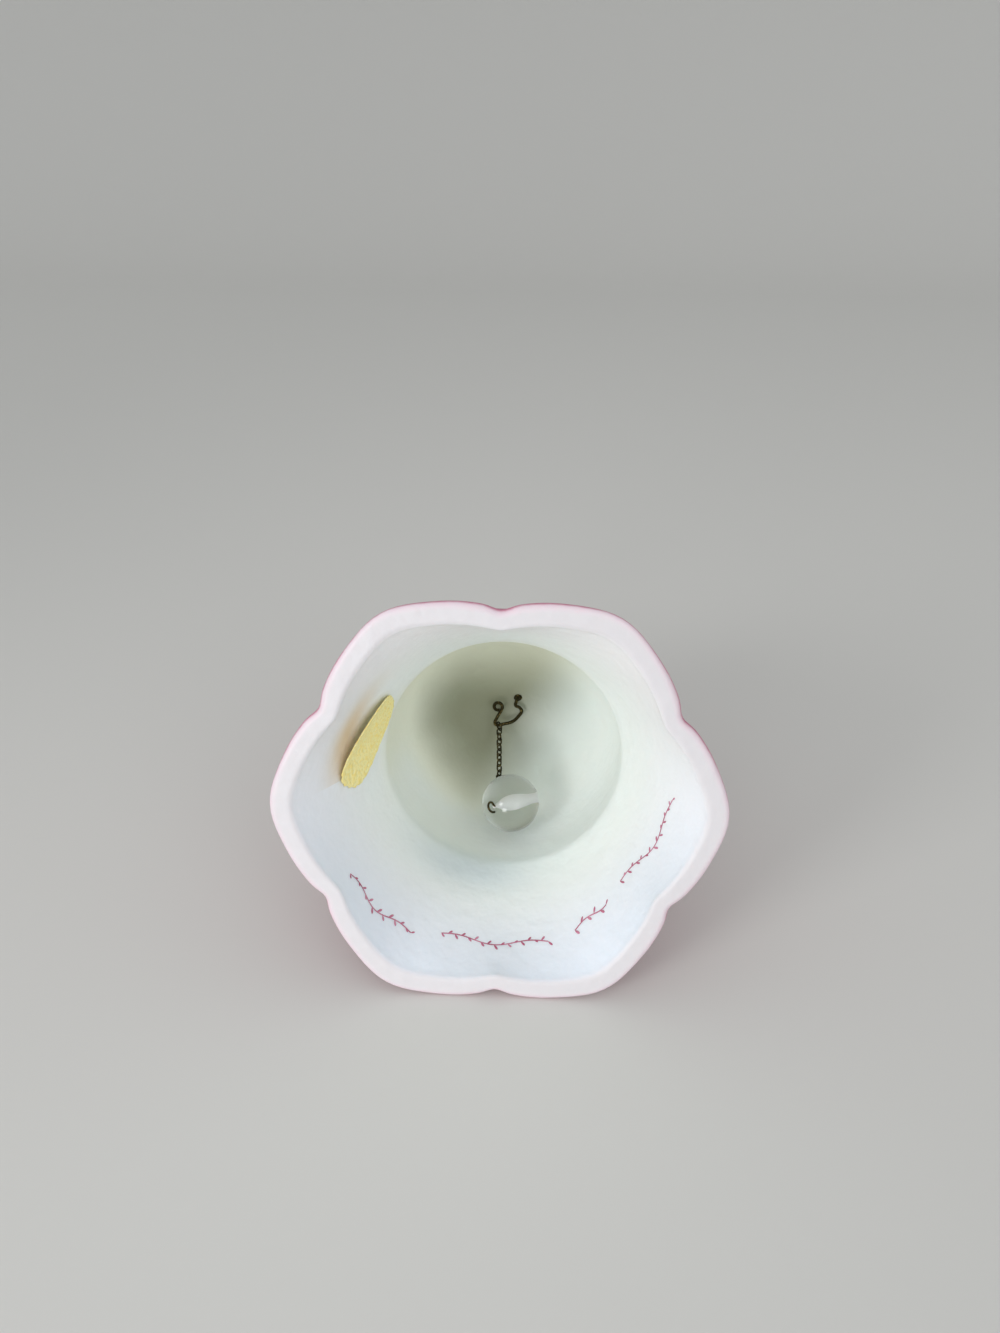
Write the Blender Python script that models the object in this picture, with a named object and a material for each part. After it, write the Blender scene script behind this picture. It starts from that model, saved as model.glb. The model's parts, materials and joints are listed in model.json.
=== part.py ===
"""Glass table bell with a petal mouth, lying on its side as it rests on a table.

The bell is one piece of cased glass with a solid handle. A wire hook is set in
its crown. A ring and a fine chain hang on the hook and carry a clear bead on a
wire pin. An oval foil label is stuck inside the skirt.

Sizes are in millimetres and are turned into metres where points are made.
Inside the bell a place is given as (across, up, deep): across to the right and
up as seen from the mouth, and deep from the mouth plane towards the handle.
"""

import math

import bmesh
import bpy
from mathutils import Matrix, Vector

MM = 0.001

# Glass bell: mouth and skirt
PETALS = 6
MOUTH_RADIUS = 54.0
LIP_WIDTH = 5.3
LOBE_SHARE = 0.049
LOBE_SHARPNESS = 0.0038
PINCH_SHARE = 0.024
PINCH_HALF_ANGLE = 3.2
PINCH_DEPTH = 4.0
LOBE_FADE_DEPTH = 37.0
LOBE_FADE_POWER = 3.0
OUTER_EDGE_ROUND = 1.6
INNER_EDGE_ROUND = 0.6

# Glass bell: body
WAIST_DEPTH = 38.5
WAIST_RADIUS = 36.4
WAIST_WALL = 3.4
BULGE_DEPTH = 50.0
BULGE_OUT = 0.7
INNER_CREASE = 0.6
OUTER_CREASE = 3.0
CREASE_REACH = 4.0
CROWN_DEPTH = 87.2
CROWN_THICKNESS = 8.0

# Glass bell: solid handle
HANDLE_END_DEPTH = 164.5
STEM_RADIUS = 7.0
COLLAR_DEPTH = 102.0
COLLAR_OUT = 3.0
COLLAR_HALF_LENGTH = 3.6
BELLY_DEPTH = 125.0
BELLY_OUT = 2.6
BELLY_HALF_LENGTH = 17.0
KNOB_RADIUS = 10.5
KNOB_HALF_LENGTH = 9.0
BLEND_POWER = 6.0

# Facets of the glass bell
COLUMNS = 84
NOTCH_CROWDING = 0.35

# Wire hook in the crown
HOOK_WIRE = 0.9
HOOK_SET_DEPTH = 4.0
SOCKET_GAP = 0.15
HOOK_ROOT_ACROSS = 3.2
HOOK_ROOT_UP = 2.2
HOOK_LOW_ACROSS = -3.5
HOOK_LOW_UP = -5.7
HOOK_REACH = 5.6
HOOK_CURL_RADIUS = 1.35
HOOK_CURL_ACROSS = 0.4
HOOK_CURL_UP = 5.5
HOOK_CURL_DEEP = 2.0
HOOK_CURL_PITCH = 0.12
HOOK_CURL_START = -30
HOOK_CURL_STEP = 40
HOOK_CURL_KNOTS = 9

# Bends of the hook's leg, as across, up and out from its root in the crown
HOOK_LEG = (
    (0.0, 0.0, 0.0),
    (0.0, 0.0, 0.7),
    (-0.5, -1.0, 1.5),
    (-0.7, -2.1, 1.9),
    (0.6, -2.7, 2.3),
    (1.3, -3.7, 2.8),
    (0.5, -5.1, 3.5),
)

# Bow of the hook, as shares of its way down and of its way across to its lowest part
HOOK_BOW = ((0.62, 0.30), (0.86, 0.66), (0.98, 1.0))

# Rise of the hook behind its lowest part, as across, up and deep from there
HOOK_RISE = ((-0.5, 0.6, 0.1), (0.1, 2.3, 0.7))

# Ring and chain
CHAIN_WIRE = 0.45
CHAIN_GAP = 0.12
RING_RADIUS = 1.4
RING_GAP = 0.2
RING_SEAT_ACROSS = 0.88
RING_SEAT_UP = 0.02
RING_SEAT_DEEP = 0.22
LINK_COUNT = 9
LINK_PITCH = 2.0
LINK_MEAN_WIDTH = 1.6

# Clear bead and its pin
BEAD_RADIUS = 8.75
BORE_RADIUS = 1.6
BORE_EDGE_ROUND = 0.4
BEAD_ACROSS = 2.0
BEAD_REST_GAP = 1.9
BORE_FACING = (-0.534, 0.216, -0.819)
PIN_WIRE = 0.6
PIN_CLEARANCE = 0.35
PIN_EYE_RADIUS = 0.95
PIN_EYE_START = -85
PIN_CURL_RADIUS = 1.75
PIN_CURL_LIFT = 0.1
PIN_CURL_START = 300
PIN_TURN_STEP = 30
PIN_NEAR_SET = 0.5
PIN_FAR_SET = 0.8
PIN_CORNER_ROUND = 0.35
EYE_SIDE = (-0.36, 0.45, 0.82)
RING_FACING = (-0.86, -0.43, 0.28)

# Foil label
LABEL_LENGTH = 27.0
LABEL_WIDTH = 15.5
LABEL_THICKNESS = 0.3
LABEL_GAP = 0.25
LABEL_LIFT = 0.9
LABEL_DEPTH = 25.5
LABEL_ANGLE = 166.0
LABEL_TURN = 28.0


def material(name, colour, roughness, metallic, transmission=0.0, ior=1.5):
    """A Principled BSDF with the given finish."""
    made = bpy.data.materials.new(name)
    made.use_nodes = True
    made.diffuse_color = (*colour, 1.0)
    shader = made.node_tree.nodes["Principled BSDF"]
    shader.inputs["Base Color"].default_value = (*colour, 1.0)
    shader.inputs["Roughness"].default_value = roughness
    shader.inputs["Metallic"].default_value = metallic
    shader.inputs["Transmission Weight"].default_value = transmission
    shader.inputs["IOR"].default_value = ior
    return made


def place(across, up, deep):
    """A place inside the bell as a point of the bell's own frame, in metres."""
    return Vector((across, -up, deep)) * MM


def direction(across, up, deep):
    """The same for a direction."""
    return Vector((across, -up, deep)).normalized()


class Placed:
    """An object and its matrix in the bell's own frame."""

    def __init__(self, obj, matrix):
        self.obj = obj
        self.matrix = matrix


def add_object(name, data, finish, parent, matrix=None):
    """Links an object for the data on its parent; the matrix is in the bell's frame."""
    made = bpy.data.objects.new(name, data)
    bpy.context.scene.collection.objects.link(made)
    if finish is not None:
        made.data.materials.append(finish)
    matrix = parent.matrix if matrix is None else matrix
    made.parent = parent.obj
    made.matrix_local = parent.matrix.inverted() @ matrix
    return Placed(made, matrix)


def frame_at(point, x_axis, z_axis):
    """A matrix with its origin at the point, local X on x_axis and local Z near z_axis."""
    x_unit = x_axis.normalized()
    y_unit = z_axis.cross(x_unit).normalized()
    z_unit = x_unit.cross(y_unit)
    turn = Matrix((x_unit, y_unit, z_unit)).transposed()
    return Matrix.Translation(point) @ turn.to_4x4()


# Petals and profile of the glass


def petal_share(angle, depth):
    """How much wider or narrower the glass is at this angle and depth than its mean."""
    fade = max(0.0, 1.0 - depth / LOBE_FADE_DEPTH) ** LOBE_FADE_POWER
    lobes = LOBE_SHARE * math.cos(PETALS * angle)
    lobes += LOBE_SHARPNESS * math.cos(3 * PETALS * angle)
    step = 2 * math.pi / PETALS
    off_notch = (angle % step) - step / 2
    pinch = math.exp(-((off_notch / math.radians(PINCH_HALF_ANGLE)) ** 2))
    pinch *= math.exp(-((depth / PINCH_DEPTH) ** 2))
    return 1.0 + fade * lobes - PINCH_SHARE * pinch


def body_radius(depth, waist, crown):
    """Radius of the round body from its waist over its bulge to its crown."""
    if depth < BULGE_DEPTH:
        share = max(0.0, (depth - WAIST_DEPTH) / (BULGE_DEPTH - WAIST_DEPTH))
        return waist + BULGE_OUT * math.sin(share * math.pi / 2)
    share = min(1.0, (depth - BULGE_DEPTH) / (crown - BULGE_DEPTH))
    return (waist + BULGE_OUT) * math.sqrt(1.0 - share**2)


def joined_radius(depth, mouth, waist, crown, softness):
    """Radius of the flared skirt and the body, with a crease of some softness between."""
    skirt = waist + (mouth - waist) * (1.0 - depth / WAIST_DEPTH)
    body = body_radius(depth, waist, crown)
    if depth > BULGE_DEPTH:
        return body
    both = (skirt + body) / 2 + math.hypot(skirt - body, softness) / 2
    at_bulge = waist - (mouth - waist) * (BULGE_DEPTH / WAIST_DEPTH - 1.0)
    bulge = waist + BULGE_OUT
    excess = (at_bulge - bulge) / 2 + math.hypot(at_bulge - bulge, softness) / 2
    return both - excess * depth / BULGE_DEPTH


def inner_radius(depth):
    """Mean radius of the inside of the glass at a depth."""
    waist = WAIST_RADIUS - WAIST_WALL
    return joined_radius(depth, MOUTH_RADIUS - LIP_WIDTH, waist, CROWN_DEPTH, INNER_CREASE)


def swelling(depth, centre, half_length):
    """A smooth rise from 0 to 1 and back around a centre."""
    share = (depth - centre) / half_length
    return math.cos(share * math.pi / 2) ** 2 if abs(share) < 1 else 0.0


def outer_radius(depth):
    """Mean radius of the outside of the glass at a depth."""
    crown = CROWN_DEPTH + CROWN_THICKNESS
    body = joined_radius(depth, MOUTH_RADIUS, WAIST_RADIUS, crown, OUTER_CREASE)
    if depth < BULGE_DEPTH:
        return body
    stem = STEM_RADIUS
    stem += COLLAR_OUT * swelling(depth, COLLAR_DEPTH, COLLAR_HALF_LENGTH)
    stem += BELLY_OUT * swelling(depth, BELLY_DEPTH, BELLY_HALF_LENGTH)
    knob_centre = HANDLE_END_DEPTH - KNOB_HALF_LENGTH
    from_knob = min(1.0, abs(depth - knob_centre) / KNOB_HALF_LENGTH)
    knob = KNOB_RADIUS * math.sqrt(1.0 - from_knob**2)
    if depth > knob_centre:
        return knob
    total = body**BLEND_POWER + stem**BLEND_POWER + knob**BLEND_POWER
    return total ** (1 / BLEND_POWER)


def steps_between(low, high, count, power=1.0):
    """Count values from low up to, but not including, high."""
    return [low + (high - low) * (k / count) ** power for k in range(count)]


def dome_steps(low, high, count):
    """Values that crowd towards high, as the points of an arc do."""
    return [low + (high - low) * math.sin(k * math.pi / 2 / count) for k in range(count)]


def inside_profile():
    """(radius, depth) of the inside, from the crown out to the lip."""
    depths = steps_between(INNER_EDGE_ROUND, WAIST_DEPTH, 7, 1.3)
    depths += steps_between(WAIST_DEPTH, BULGE_DEPTH, 2)
    depths += dome_steps(BULGE_DEPTH, CROWN_DEPTH, 8)
    points = [(inner_radius(depth), depth) for depth in depths]
    return [(0.0, CROWN_DEPTH)] + points[::-1]


def lip_profile():
    """(radius, depth) of the flat lip and of its rounded outer edge."""
    points = [(inner_radius(0.0) + INNER_EDGE_ROUND, 0.0)]
    for turn in range(4):
        angle = math.radians(30 * turn)
        radius = MOUTH_RADIUS - OUTER_EDGE_ROUND * (1 - math.sin(angle))
        depth = OUTER_EDGE_ROUND * (1 - math.cos(angle))
        points.append((radius, depth))
    return points


def outside_profile():
    """(radius, depth) of the outside, from the lip to the end of the handle."""
    neck = CROWN_DEPTH + CROWN_THICKNESS
    knob_centre = HANDLE_END_DEPTH - KNOB_HALF_LENGTH
    crease = WAIST_DEPTH - CREASE_REACH
    depths = steps_between(2 * OUTER_EDGE_ROUND, crease, 5, 1.2)
    depths += steps_between(crease, BULGE_DEPTH, 5)
    depths += dome_steps(BULGE_DEPTH, neck, 8)
    depths += steps_between(neck, COLLAR_DEPTH + COLLAR_HALF_LENGTH, 7)
    depths += steps_between(COLLAR_DEPTH + COLLAR_HALF_LENGTH, knob_centre - KNOB_HALF_LENGTH, 6)
    depths += [knob_centre - d for d in dome_steps(0, KNOB_HALF_LENGTH, 4)[::-1]]
    depths += dome_steps(knob_centre, HANDLE_END_DEPTH, 6)[1:]
    points = [(outer_radius(depth), depth) for depth in depths]
    return points + [(0.0, HANDLE_END_DEPTH)]


def crowded(angle):
    """Moves evenly spaced columns closer together at the notches."""
    half_step = math.pi / PETALS
    return angle - NOTCH_CROWDING / PETALS * math.sin(PETALS * (angle - half_step))


def shape_petals(mesh):
    """Turns the round mouth of a spun mesh into lobes and pinched notches."""
    for vert in mesh.verts:
        radius = math.hypot(vert.co.x, vert.co.y)
        if radius < 1e-9:
            continue
        angle = crowded(math.atan2(vert.co.y, vert.co.x))
        radius *= petal_share(angle, vert.co.z / MM)
        vert.co.x = radius * math.cos(angle)
        vert.co.y = radius * math.sin(angle)


def spun_mesh(profile, columns, closed):
    """A mesh made by spinning (radius, depth) points about the Z axis."""
    mesh = bmesh.new()
    verts = [mesh.verts.new((radius * MM, 0, depth * MM)) for radius, depth in profile]
    pairs = list(zip(verts, verts[1:]))
    if closed:
        pairs.append((verts[-1], verts[0]))
    edges = [mesh.edges.new(pair) for pair in pairs]
    bmesh.ops.spin(
        mesh,
        geom=verts + edges,
        cent=(0, 0, 0),
        axis=(0, 0, 1),
        angle=2 * math.pi,
        steps=columns,
        use_merge=True,
    )
    bmesh.ops.remove_doubles(mesh, verts=mesh.verts, dist=1e-6)
    bmesh.ops.recalc_face_normals(mesh, faces=mesh.faces)
    return mesh


def hook_root_depth():
    """Depth of the inner crown where the hook's leg enters the glass."""
    off_axis = math.hypot(HOOK_ROOT_ACROSS, HOOK_ROOT_UP)
    share = off_axis / (WAIST_RADIUS - WAIST_WALL + BULGE_OUT)
    return BULGE_DEPTH + (CROWN_DEPTH - BULGE_DEPTH) * math.sqrt(1 - share**2)


def add_socket_cutter(parent):
    """The cylinder that cuts the hook's socket into the crown."""
    mesh = bmesh.new()
    length = 2 * HOOK_SET_DEPTH
    radius = HOOK_WIRE / 2 + SOCKET_GAP
    bmesh.ops.create_cone(
        mesh,
        cap_ends=True,
        segments=16,
        radius1=radius * MM,
        radius2=radius * MM,
        depth=length * MM,
    )
    data = bpy.data.meshes.new("socket_cutter")
    mesh.to_mesh(data)
    mesh.free()
    middle = hook_root_depth() + SOCKET_GAP
    spot = place(HOOK_ROOT_ACROSS, HOOK_ROOT_UP, middle)
    cutter = add_object("socket_cutter", data, None, parent, Matrix.Translation(spot)).obj
    cutter.hide_render = True
    cutter.display_type = "WIRE"
    return cutter


def glass_mesh():
    """The whole glass as one mesh, with lining faces on the inside and the lip."""
    mesh = spun_mesh(inside_profile() + lip_profile() + outside_profile(), COLUMNS, False)
    shape_petals(mesh)
    data = bpy.data.meshes.new("glass_bell")
    mesh.to_mesh(data)
    mesh.free()
    for face in data.polygons:
        depth = face.center.z / MM
        if depth > CROWN_DEPTH:
            continue
        radius = math.hypot(face.center.x, face.center.y) / MM
        share = petal_share(math.atan2(face.center.y, face.center.x), depth)
        middle = share * (inner_radius(depth) + outer_radius(depth)) / 2
        if radius < middle:
            face.material_index = 1
    data.shade_smooth()
    data.set_sharp_from_angle(angle=math.radians(35))
    return data


def add_glass_bell(parent, data):
    """The cased glass bell: pink outside, white inside, with a solid handle."""
    casing = material("pink_satin_casing", (0.62, 0.28, 0.36), 0.38, 0.0)
    bell = add_object("glass_bell", data, casing, parent)
    data.materials.append(material("opal_lining", (0.78, 0.80, 0.77), 0.3, 0.0))
    cut = bell.obj.modifiers.new("hook_socket", "BOOLEAN")
    cut.operation = "DIFFERENCE"
    cut.solver = "EXACT"
    cut.object = add_socket_cutter(parent)
    return bell


# Wire pieces


def wire_curve(name, points, diameter, cyclic=False, smooth=True, sides=2):
    """A curve through the points with a round bevel and closed ends."""
    data = bpy.data.curves.new(name, "CURVE")
    data.dimensions = "3D"
    data.bevel_depth = diameter / 2 * MM
    data.bevel_resolution = sides
    data.use_fill_caps = True
    data.resolution_u = 3
    spline = data.splines.new("BEZIER" if smooth else "POLY")
    if smooth:
        spline.bezier_points.add(len(points) - 1)
        for knot, point in zip(spline.bezier_points, points):
            knot.co = point
            knot.handle_left_type = "AUTO"
            knot.handle_right_type = "AUTO"
    else:
        spline.points.add(len(points) - 1)
        for knot, point in zip(spline.points, points):
            knot.co = (*point, 1.0)
    spline.use_cyclic_u = cyclic
    return data


def hook_low_depth():
    """Depth of the lowest part of the hook's bow."""
    return CROWN_DEPTH - HOOK_REACH


def hook_points():
    """The hook from its set end through its bow to its free curl."""
    root = Vector((HOOK_ROOT_ACROSS, HOOK_ROOT_UP, hook_root_depth()))
    low = Vector((HOOK_LOW_ACROSS, HOOK_LOW_UP, hook_low_depth()))
    spots = [
        root + Vector((0.0, 0.0, HOOK_SET_DEPTH - 2 * SOCKET_GAP)),
        root + Vector((0.0, 0.0, HOOK_SET_DEPTH / 2)),
    ]
    spots += [root + Vector((across, up, -out)) for across, up, out in HOOK_LEG]
    foot = spots[-1]
    way = low - foot
    for drop, along in HOOK_BOW:
        spots.append(foot + Vector((way.x * along, way.y * drop, way.z * drop)))
    spots += [low + Vector(rise) for rise in HOOK_RISE]
    centre = low + Vector((HOOK_CURL_ACROSS, HOOK_CURL_UP, HOOK_CURL_DEEP))
    for turn in range(HOOK_CURL_KNOTS):
        angle = math.radians(HOOK_CURL_START + HOOK_CURL_STEP * turn)
        across = HOOK_CURL_RADIUS * math.cos(angle)
        up = HOOK_CURL_RADIUS * math.sin(angle)
        spots.append(centre + Vector((across, up, HOOK_CURL_PITCH * turn)))
    return [place(*spot) for spot in spots]


def add_hook(parent, finish):
    """The wire hook set in the crown."""
    data = wire_curve("crown_hook", hook_points(), HOOK_WIRE)
    return add_object("crown_hook", data, finish, parent)


# Route of the chain


def bead_centre_radius(depth):
    """How far off the axis the bead's centre can lie at a depth before it meets the wall."""
    reach = BEAD_RADIUS + BEAD_REST_GAP
    best = MOUTH_RADIUS
    for k in range(-60, 61):
        offset = reach * k / 61
        room = inner_radius(depth + offset) - math.sqrt(reach**2 - offset**2)
        best = min(best, room)
    return best


def bead_centre(depth):
    """The bead's centre on the lower wall at a depth."""
    off_axis = bead_centre_radius(depth)
    up = -math.sqrt(off_axis**2 - BEAD_ACROSS**2)
    return place(BEAD_ACROSS, up, depth)


def pin_hold():
    """Distance between the last link's wire and the wire of the pin's eye."""
    return (CHAIN_WIRE + PIN_WIRE) / 2 + CHAIN_GAP


def pin_axis():
    """Direction of the bore, from the bead's centre out of its near end."""
    return direction(*BORE_FACING)


def last_pivot(bead):
    """Where the last link holds the eye of the pin, behind the bead's upper left."""
    reach = BEAD_RADIUS + PIN_CLEARANCE + PIN_WIRE / 2 + 2 * PIN_EYE_RADIUS - pin_hold()
    return bead + direction(*EYE_SIDE) * reach * MM


def ring_hang():
    """How far the ring's centre hangs below the wire of the hook."""
    return RING_RADIUS - (CHAIN_WIRE + HOOK_WIRE) / 2 - RING_GAP


def chain_start():
    """The centre of the hook's wire inside the ring."""
    across = HOOK_LOW_ACROSS + RING_SEAT_ACROSS
    return place(across, HOOK_LOW_UP + RING_SEAT_UP, hook_low_depth() + RING_SEAT_DEEP)


def solve_bead_depth():
    """The depth at which the straight chain just reaches the bead on the wall."""
    length = (ring_hang() + RING_RADIUS + LINK_COUNT * LINK_PITCH) * MM
    low, high = WAIST_DEPTH, CROWN_DEPTH - BEAD_RADIUS
    for _ in range(40):
        middle = (low + high) / 2
        reach = (last_pivot(bead_centre(middle)) - chain_start()).length
        if reach > length:
            low = middle
        else:
            high = middle
    return (low + high) / 2


def square_to(along, wish):
    """The unit direction square to the chain that lies nearest to a wish."""
    return (wish - along * wish.dot(along)).normalized()


class ChainRoute:
    """Places of the ring, links, pin and bead in the bell's frame.

    Each matrix has its origin on the piece's hinge and local X along the hinge.
    Local Z points back up the chain. Each link is turned by the same twist.
    """

    def __init__(self):
        self.bead = bead_centre(solve_bead_depth())
        start = chain_start()
        self.end = last_pivot(self.bead)
        self.along = (self.end - start).normalized()
        ring_hinge = square_to(self.along, direction(*RING_FACING))
        hinge = self.along.cross(ring_hinge)
        eye_hinge = square_to(self.along, (self.end - self.bead).cross(pin_axis()))
        turn = math.atan2(hinge.cross(eye_hinge).dot(self.along), hinge.dot(eye_hinge))
        half_turns = round((LINK_COUNT * math.pi / 2 - turn) / math.pi)
        self.twist = (turn + half_turns * math.pi) / LINK_COUNT
        self.ring = frame_at(start, ring_hinge, -self.along)
        point = start + self.along * (ring_hang() + RING_RADIUS) * MM
        self.links = []
        for _ in range(LINK_COUNT):
            self.links.append(frame_at(point, hinge, -self.along))
            point = point + self.along * LINK_PITCH * MM
            hinge = Matrix.Rotation(self.twist, 3, self.along) @ hinge
        self.pin = frame_at(point, hinge, -self.along)


def add_ring(parent, finish, route):
    """The ring on the hook; its origin is on the hook's wire."""
    points = []
    for k in range(20):
        angle = 2 * math.pi * k / 20
        across = RING_RADIUS * math.cos(angle)
        along = RING_RADIUS * math.sin(angle) - ring_hang()
        points.append(Vector((0.0, across, along)) * MM)
    data = wire_curve("hook_ring", points, CHAIN_WIRE, True, False, 1)
    return add_object("hook_ring", data, finish, parent, route.ring)


def link_points(twist):
    """One link hanging below its hinge, turned so that its end lies along the next hinge."""
    mean_length = LINK_PITCH + CHAIN_WIRE + CHAIN_GAP
    drop = mean_length / 2 - CHAIN_WIRE - CHAIN_GAP
    bend = LINK_MEAN_WIDTH / 2
    straight = mean_length / 2 - bend
    turn = Matrix.Rotation(math.pi / 2 - twist, 3, "Z")
    points = []
    for end in (1, -1):
        for k in range(7):
            angle = math.pi * k / 6
            across = end * bend * math.cos(angle)
            along = end * (straight + bend * math.sin(angle)) - drop
            points.append(turn @ Vector((0.0, across, along)) * MM)
    return points


def add_links(parent, finish, route):
    """The links, each on the one above it, with its origin on that one's wire."""
    for k, matrix in enumerate(route.links, 1):
        data = wire_curve("chain_link", link_points(route.twist), CHAIN_WIRE, True, False, 1)
        parent = add_object(f"chain_link_{k}", data, finish, parent, matrix)
    return parent


def pin_curl_points(bead, near, side, up):
    """The curl that keeps the bead on the pin, from its end to the bore."""
    height = BEAD_RADIUS + PIN_WIRE / 2 + PIN_CLEARANCE
    level = math.sqrt(height**2 - PIN_CURL_RADIUS**2) + PIN_CURL_LIFT
    points = []
    for turn in range(11):
        angle = math.radians(PIN_CURL_START - PIN_TURN_STEP * turn)
        radius = PIN_CURL_RADIUS * min(1.0, (11 - turn) / 3.2)
        spot = side * radius * math.cos(angle) + up * radius * math.sin(angle)
        points.append(bead + (near * level + spot) * MM)
    points.append(bead + near * (BEAD_RADIUS - PIN_NEAR_SET) * MM)
    return points


def pin_back_points(bead, far, outward):
    """The pin from the bore's far end round the back of the bead to the eye's foot."""
    radius = BEAD_RADIUS + PIN_WIRE / 2 + PIN_CLEARANCE
    onward = (outward - far * outward.dot(far)).normalized()
    full = math.acos(max(-1.0, min(1.0, far.dot(outward))))
    points = [
        bead + far * (BEAD_RADIUS - PIN_FAR_SET) * MM,
        bead + (far * (radius - PIN_WIRE / 4) + onward * PIN_CORNER_ROUND) * MM,
    ]
    for k in range(1, 7):
        angle = full * k / 7
        spot = far * math.cos(angle) + onward * math.sin(angle)
        points.append(bead + spot * radius * MM)
    return points


def pin_eye_points(route, centre, outward, onward):
    """The eye that the last link holds, square to the hinge."""
    hinge = route.pin.to_3x3().col[0]
    upward = square_to(hinge, outward)
    across = square_to(hinge, square_to(upward, onward))
    points = []
    for k in range(10):
        angle = math.radians(PIN_EYE_START + PIN_TURN_STEP * k)
        spot = across * math.cos(angle) + upward * math.sin(angle)
        points.append(centre + spot * PIN_EYE_RADIUS * MM)
    return points


def add_pin(parent, finish, route):
    """The wire pin: a curl at the bore's near end, an eye behind the bead."""
    bead = route.bead
    near = pin_axis()
    far = -near
    side = square_to(near, direction(0.0, 1.0, 0.0))
    up = near.cross(side)
    centre = route.end + route.along * (PIN_EYE_RADIUS - pin_hold()) * MM
    outward = (centre - bead).normalized()
    onward = square_to(outward, -far)
    points = pin_curl_points(bead, near, side, up)
    points += [bead, *pin_back_points(bead, far, outward)]
    points += pin_eye_points(route, centre, outward, onward)
    back = route.pin.inverted()
    data = wire_curve("bead_pin", [back @ point for point in points], PIN_WIRE, sides=1)
    return add_object("bead_pin", data, finish, parent, route.pin)


def bead_profile():
    """(radius, height) round the section of the bead, from one bore edge to the other."""
    edge = math.asin((BORE_RADIUS + BORE_EDGE_ROUND) / BEAD_RADIUS)
    points = []
    for k in range(17):
        angle = edge + (math.pi - 2 * edge) * k / 16
        points.append((BEAD_RADIUS * math.sin(angle), BEAD_RADIUS * math.cos(angle)))
    wall = BEAD_RADIUS * math.cos(edge) - BORE_EDGE_ROUND
    middle = BORE_RADIUS + 0.3 * BORE_EDGE_ROUND
    points.append((middle, -wall - 0.7 * BORE_EDGE_ROUND))
    points.append((BORE_RADIUS, -wall))
    points.append((BORE_RADIUS, wall))
    points.append((middle, wall + 0.7 * BORE_EDGE_ROUND))
    return points


def add_bead(parent, route):
    """The clear bead; its origin is its centre and local Z runs along its bore."""
    mesh = spun_mesh(bead_profile(), 36, True)
    data = bpy.data.meshes.new("clapper_bead")
    mesh.to_mesh(data)
    mesh.free()
    data.shade_smooth()
    data.set_sharp_from_angle(angle=math.radians(50))
    clear = material("clear_bead", (0.93, 0.95, 0.94), 0.06, 0.0, 1.0, 1.49)
    near = pin_axis()
    matrix = frame_at(route.bead, square_to(near, direction(0.0, 1.0, 0.0)), near)
    return add_object("clapper_bead", data, clear, parent, matrix)


def label_point(along, across):
    """A point of the label's back: along its length and across its width, from its middle."""
    slope = inner_radius(LABEL_DEPTH) - inner_radius(LABEL_DEPTH + 1)
    turn = math.radians(LABEL_TURN)
    round_wall = along * math.cos(turn) - across * math.sin(turn)
    inwards = along * math.sin(turn) + across * math.cos(turn)
    depth = LABEL_DEPTH + inwards / math.hypot(1.0, slope)
    angle = -math.radians(LABEL_ANGLE) + round_wall / inner_radius(LABEL_DEPTH)
    lifted = max(0.0, -2 * across / LABEL_WIDTH) ** 2 * LABEL_LIFT
    radius = inner_radius(depth) * petal_share(angle, depth) - LABEL_GAP - lifted
    return Vector((radius * math.cos(angle), radius * math.sin(angle), depth)) * MM


def add_label(parent):
    """The oval foil label inside the skirt, its mouth side a little lifted."""
    mesh = bmesh.new()
    rings = [[mesh.verts.new(label_point(0.0, 0.0))]]
    for share in (0.35, 0.65, 0.88, 1.0):
        ring = []
        for k in range(32):
            angle = 2 * math.pi * k / 32
            along = LABEL_LENGTH / 2 * share * math.cos(angle)
            across = LABEL_WIDTH / 2 * share * math.sin(angle)
            ring.append(mesh.verts.new(label_point(along, across)))
        rings.append(ring)
    for k in range(32):
        mesh.faces.new((rings[0][0], rings[1][k], rings[1][(k + 1) % 32]))
        for inner, outer in zip(rings[1:], rings[2:]):
            after = (k + 1) % 32
            mesh.faces.new((inner[k], outer[k], outer[after], inner[after]))
    data = bpy.data.meshes.new("foil_label")
    mesh.to_mesh(data)
    mesh.free()
    data.shade_smooth()
    foil = material("embossed_foil", (0.80, 0.62, 0.22), 0.35, 1.0)
    label = add_object("foil_label", data, foil, parent)
    thick = label.obj.modifiers.new("foil_thickness", "SOLIDIFY")
    thick.thickness = LABEL_THICKNESS * MM
    thick.offset = -1.0
    return label


# How the bell lies


def lowest(points, tilt):
    """Lowest height of some points when the bell lies with its mouth raised by the tilt."""
    return min(-math.cos(tilt) * p.y - math.sin(tilt) * p.z for p in points)


def lying_matrix(data):
    """The bell's frame lying on two petals and its knob, its mouth towards -Y."""
    points = [vert.co.copy() for vert in data.vertices]
    lip = [p for p in points if p.z < WAIST_DEPTH * MM]
    knob = [p for p in points if p.z > (HANDLE_END_DEPTH - 2 * KNOB_HALF_LENGTH) * MM]
    low, high = 0.0, math.radians(45)
    for _ in range(50):
        tilt = (low + high) / 2
        if lowest(lip, tilt) < lowest(knob, tilt):
            low = tilt
        else:
            high = tilt
    turn = Matrix.Rotation(-math.pi / 2 - tilt, 4, "X")
    placed = [turn @ p for p in points]
    ends = [p.y for p in placed]
    middle = (min(ends) + max(ends)) / 2
    return Matrix.Translation((0.0, -middle, -min(p.z for p in placed))) @ turn


def clear_scene():
    """Removes every object of the scene."""
    for obj in list(bpy.data.objects):
        bpy.data.objects.remove(obj, do_unlink=True)


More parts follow.
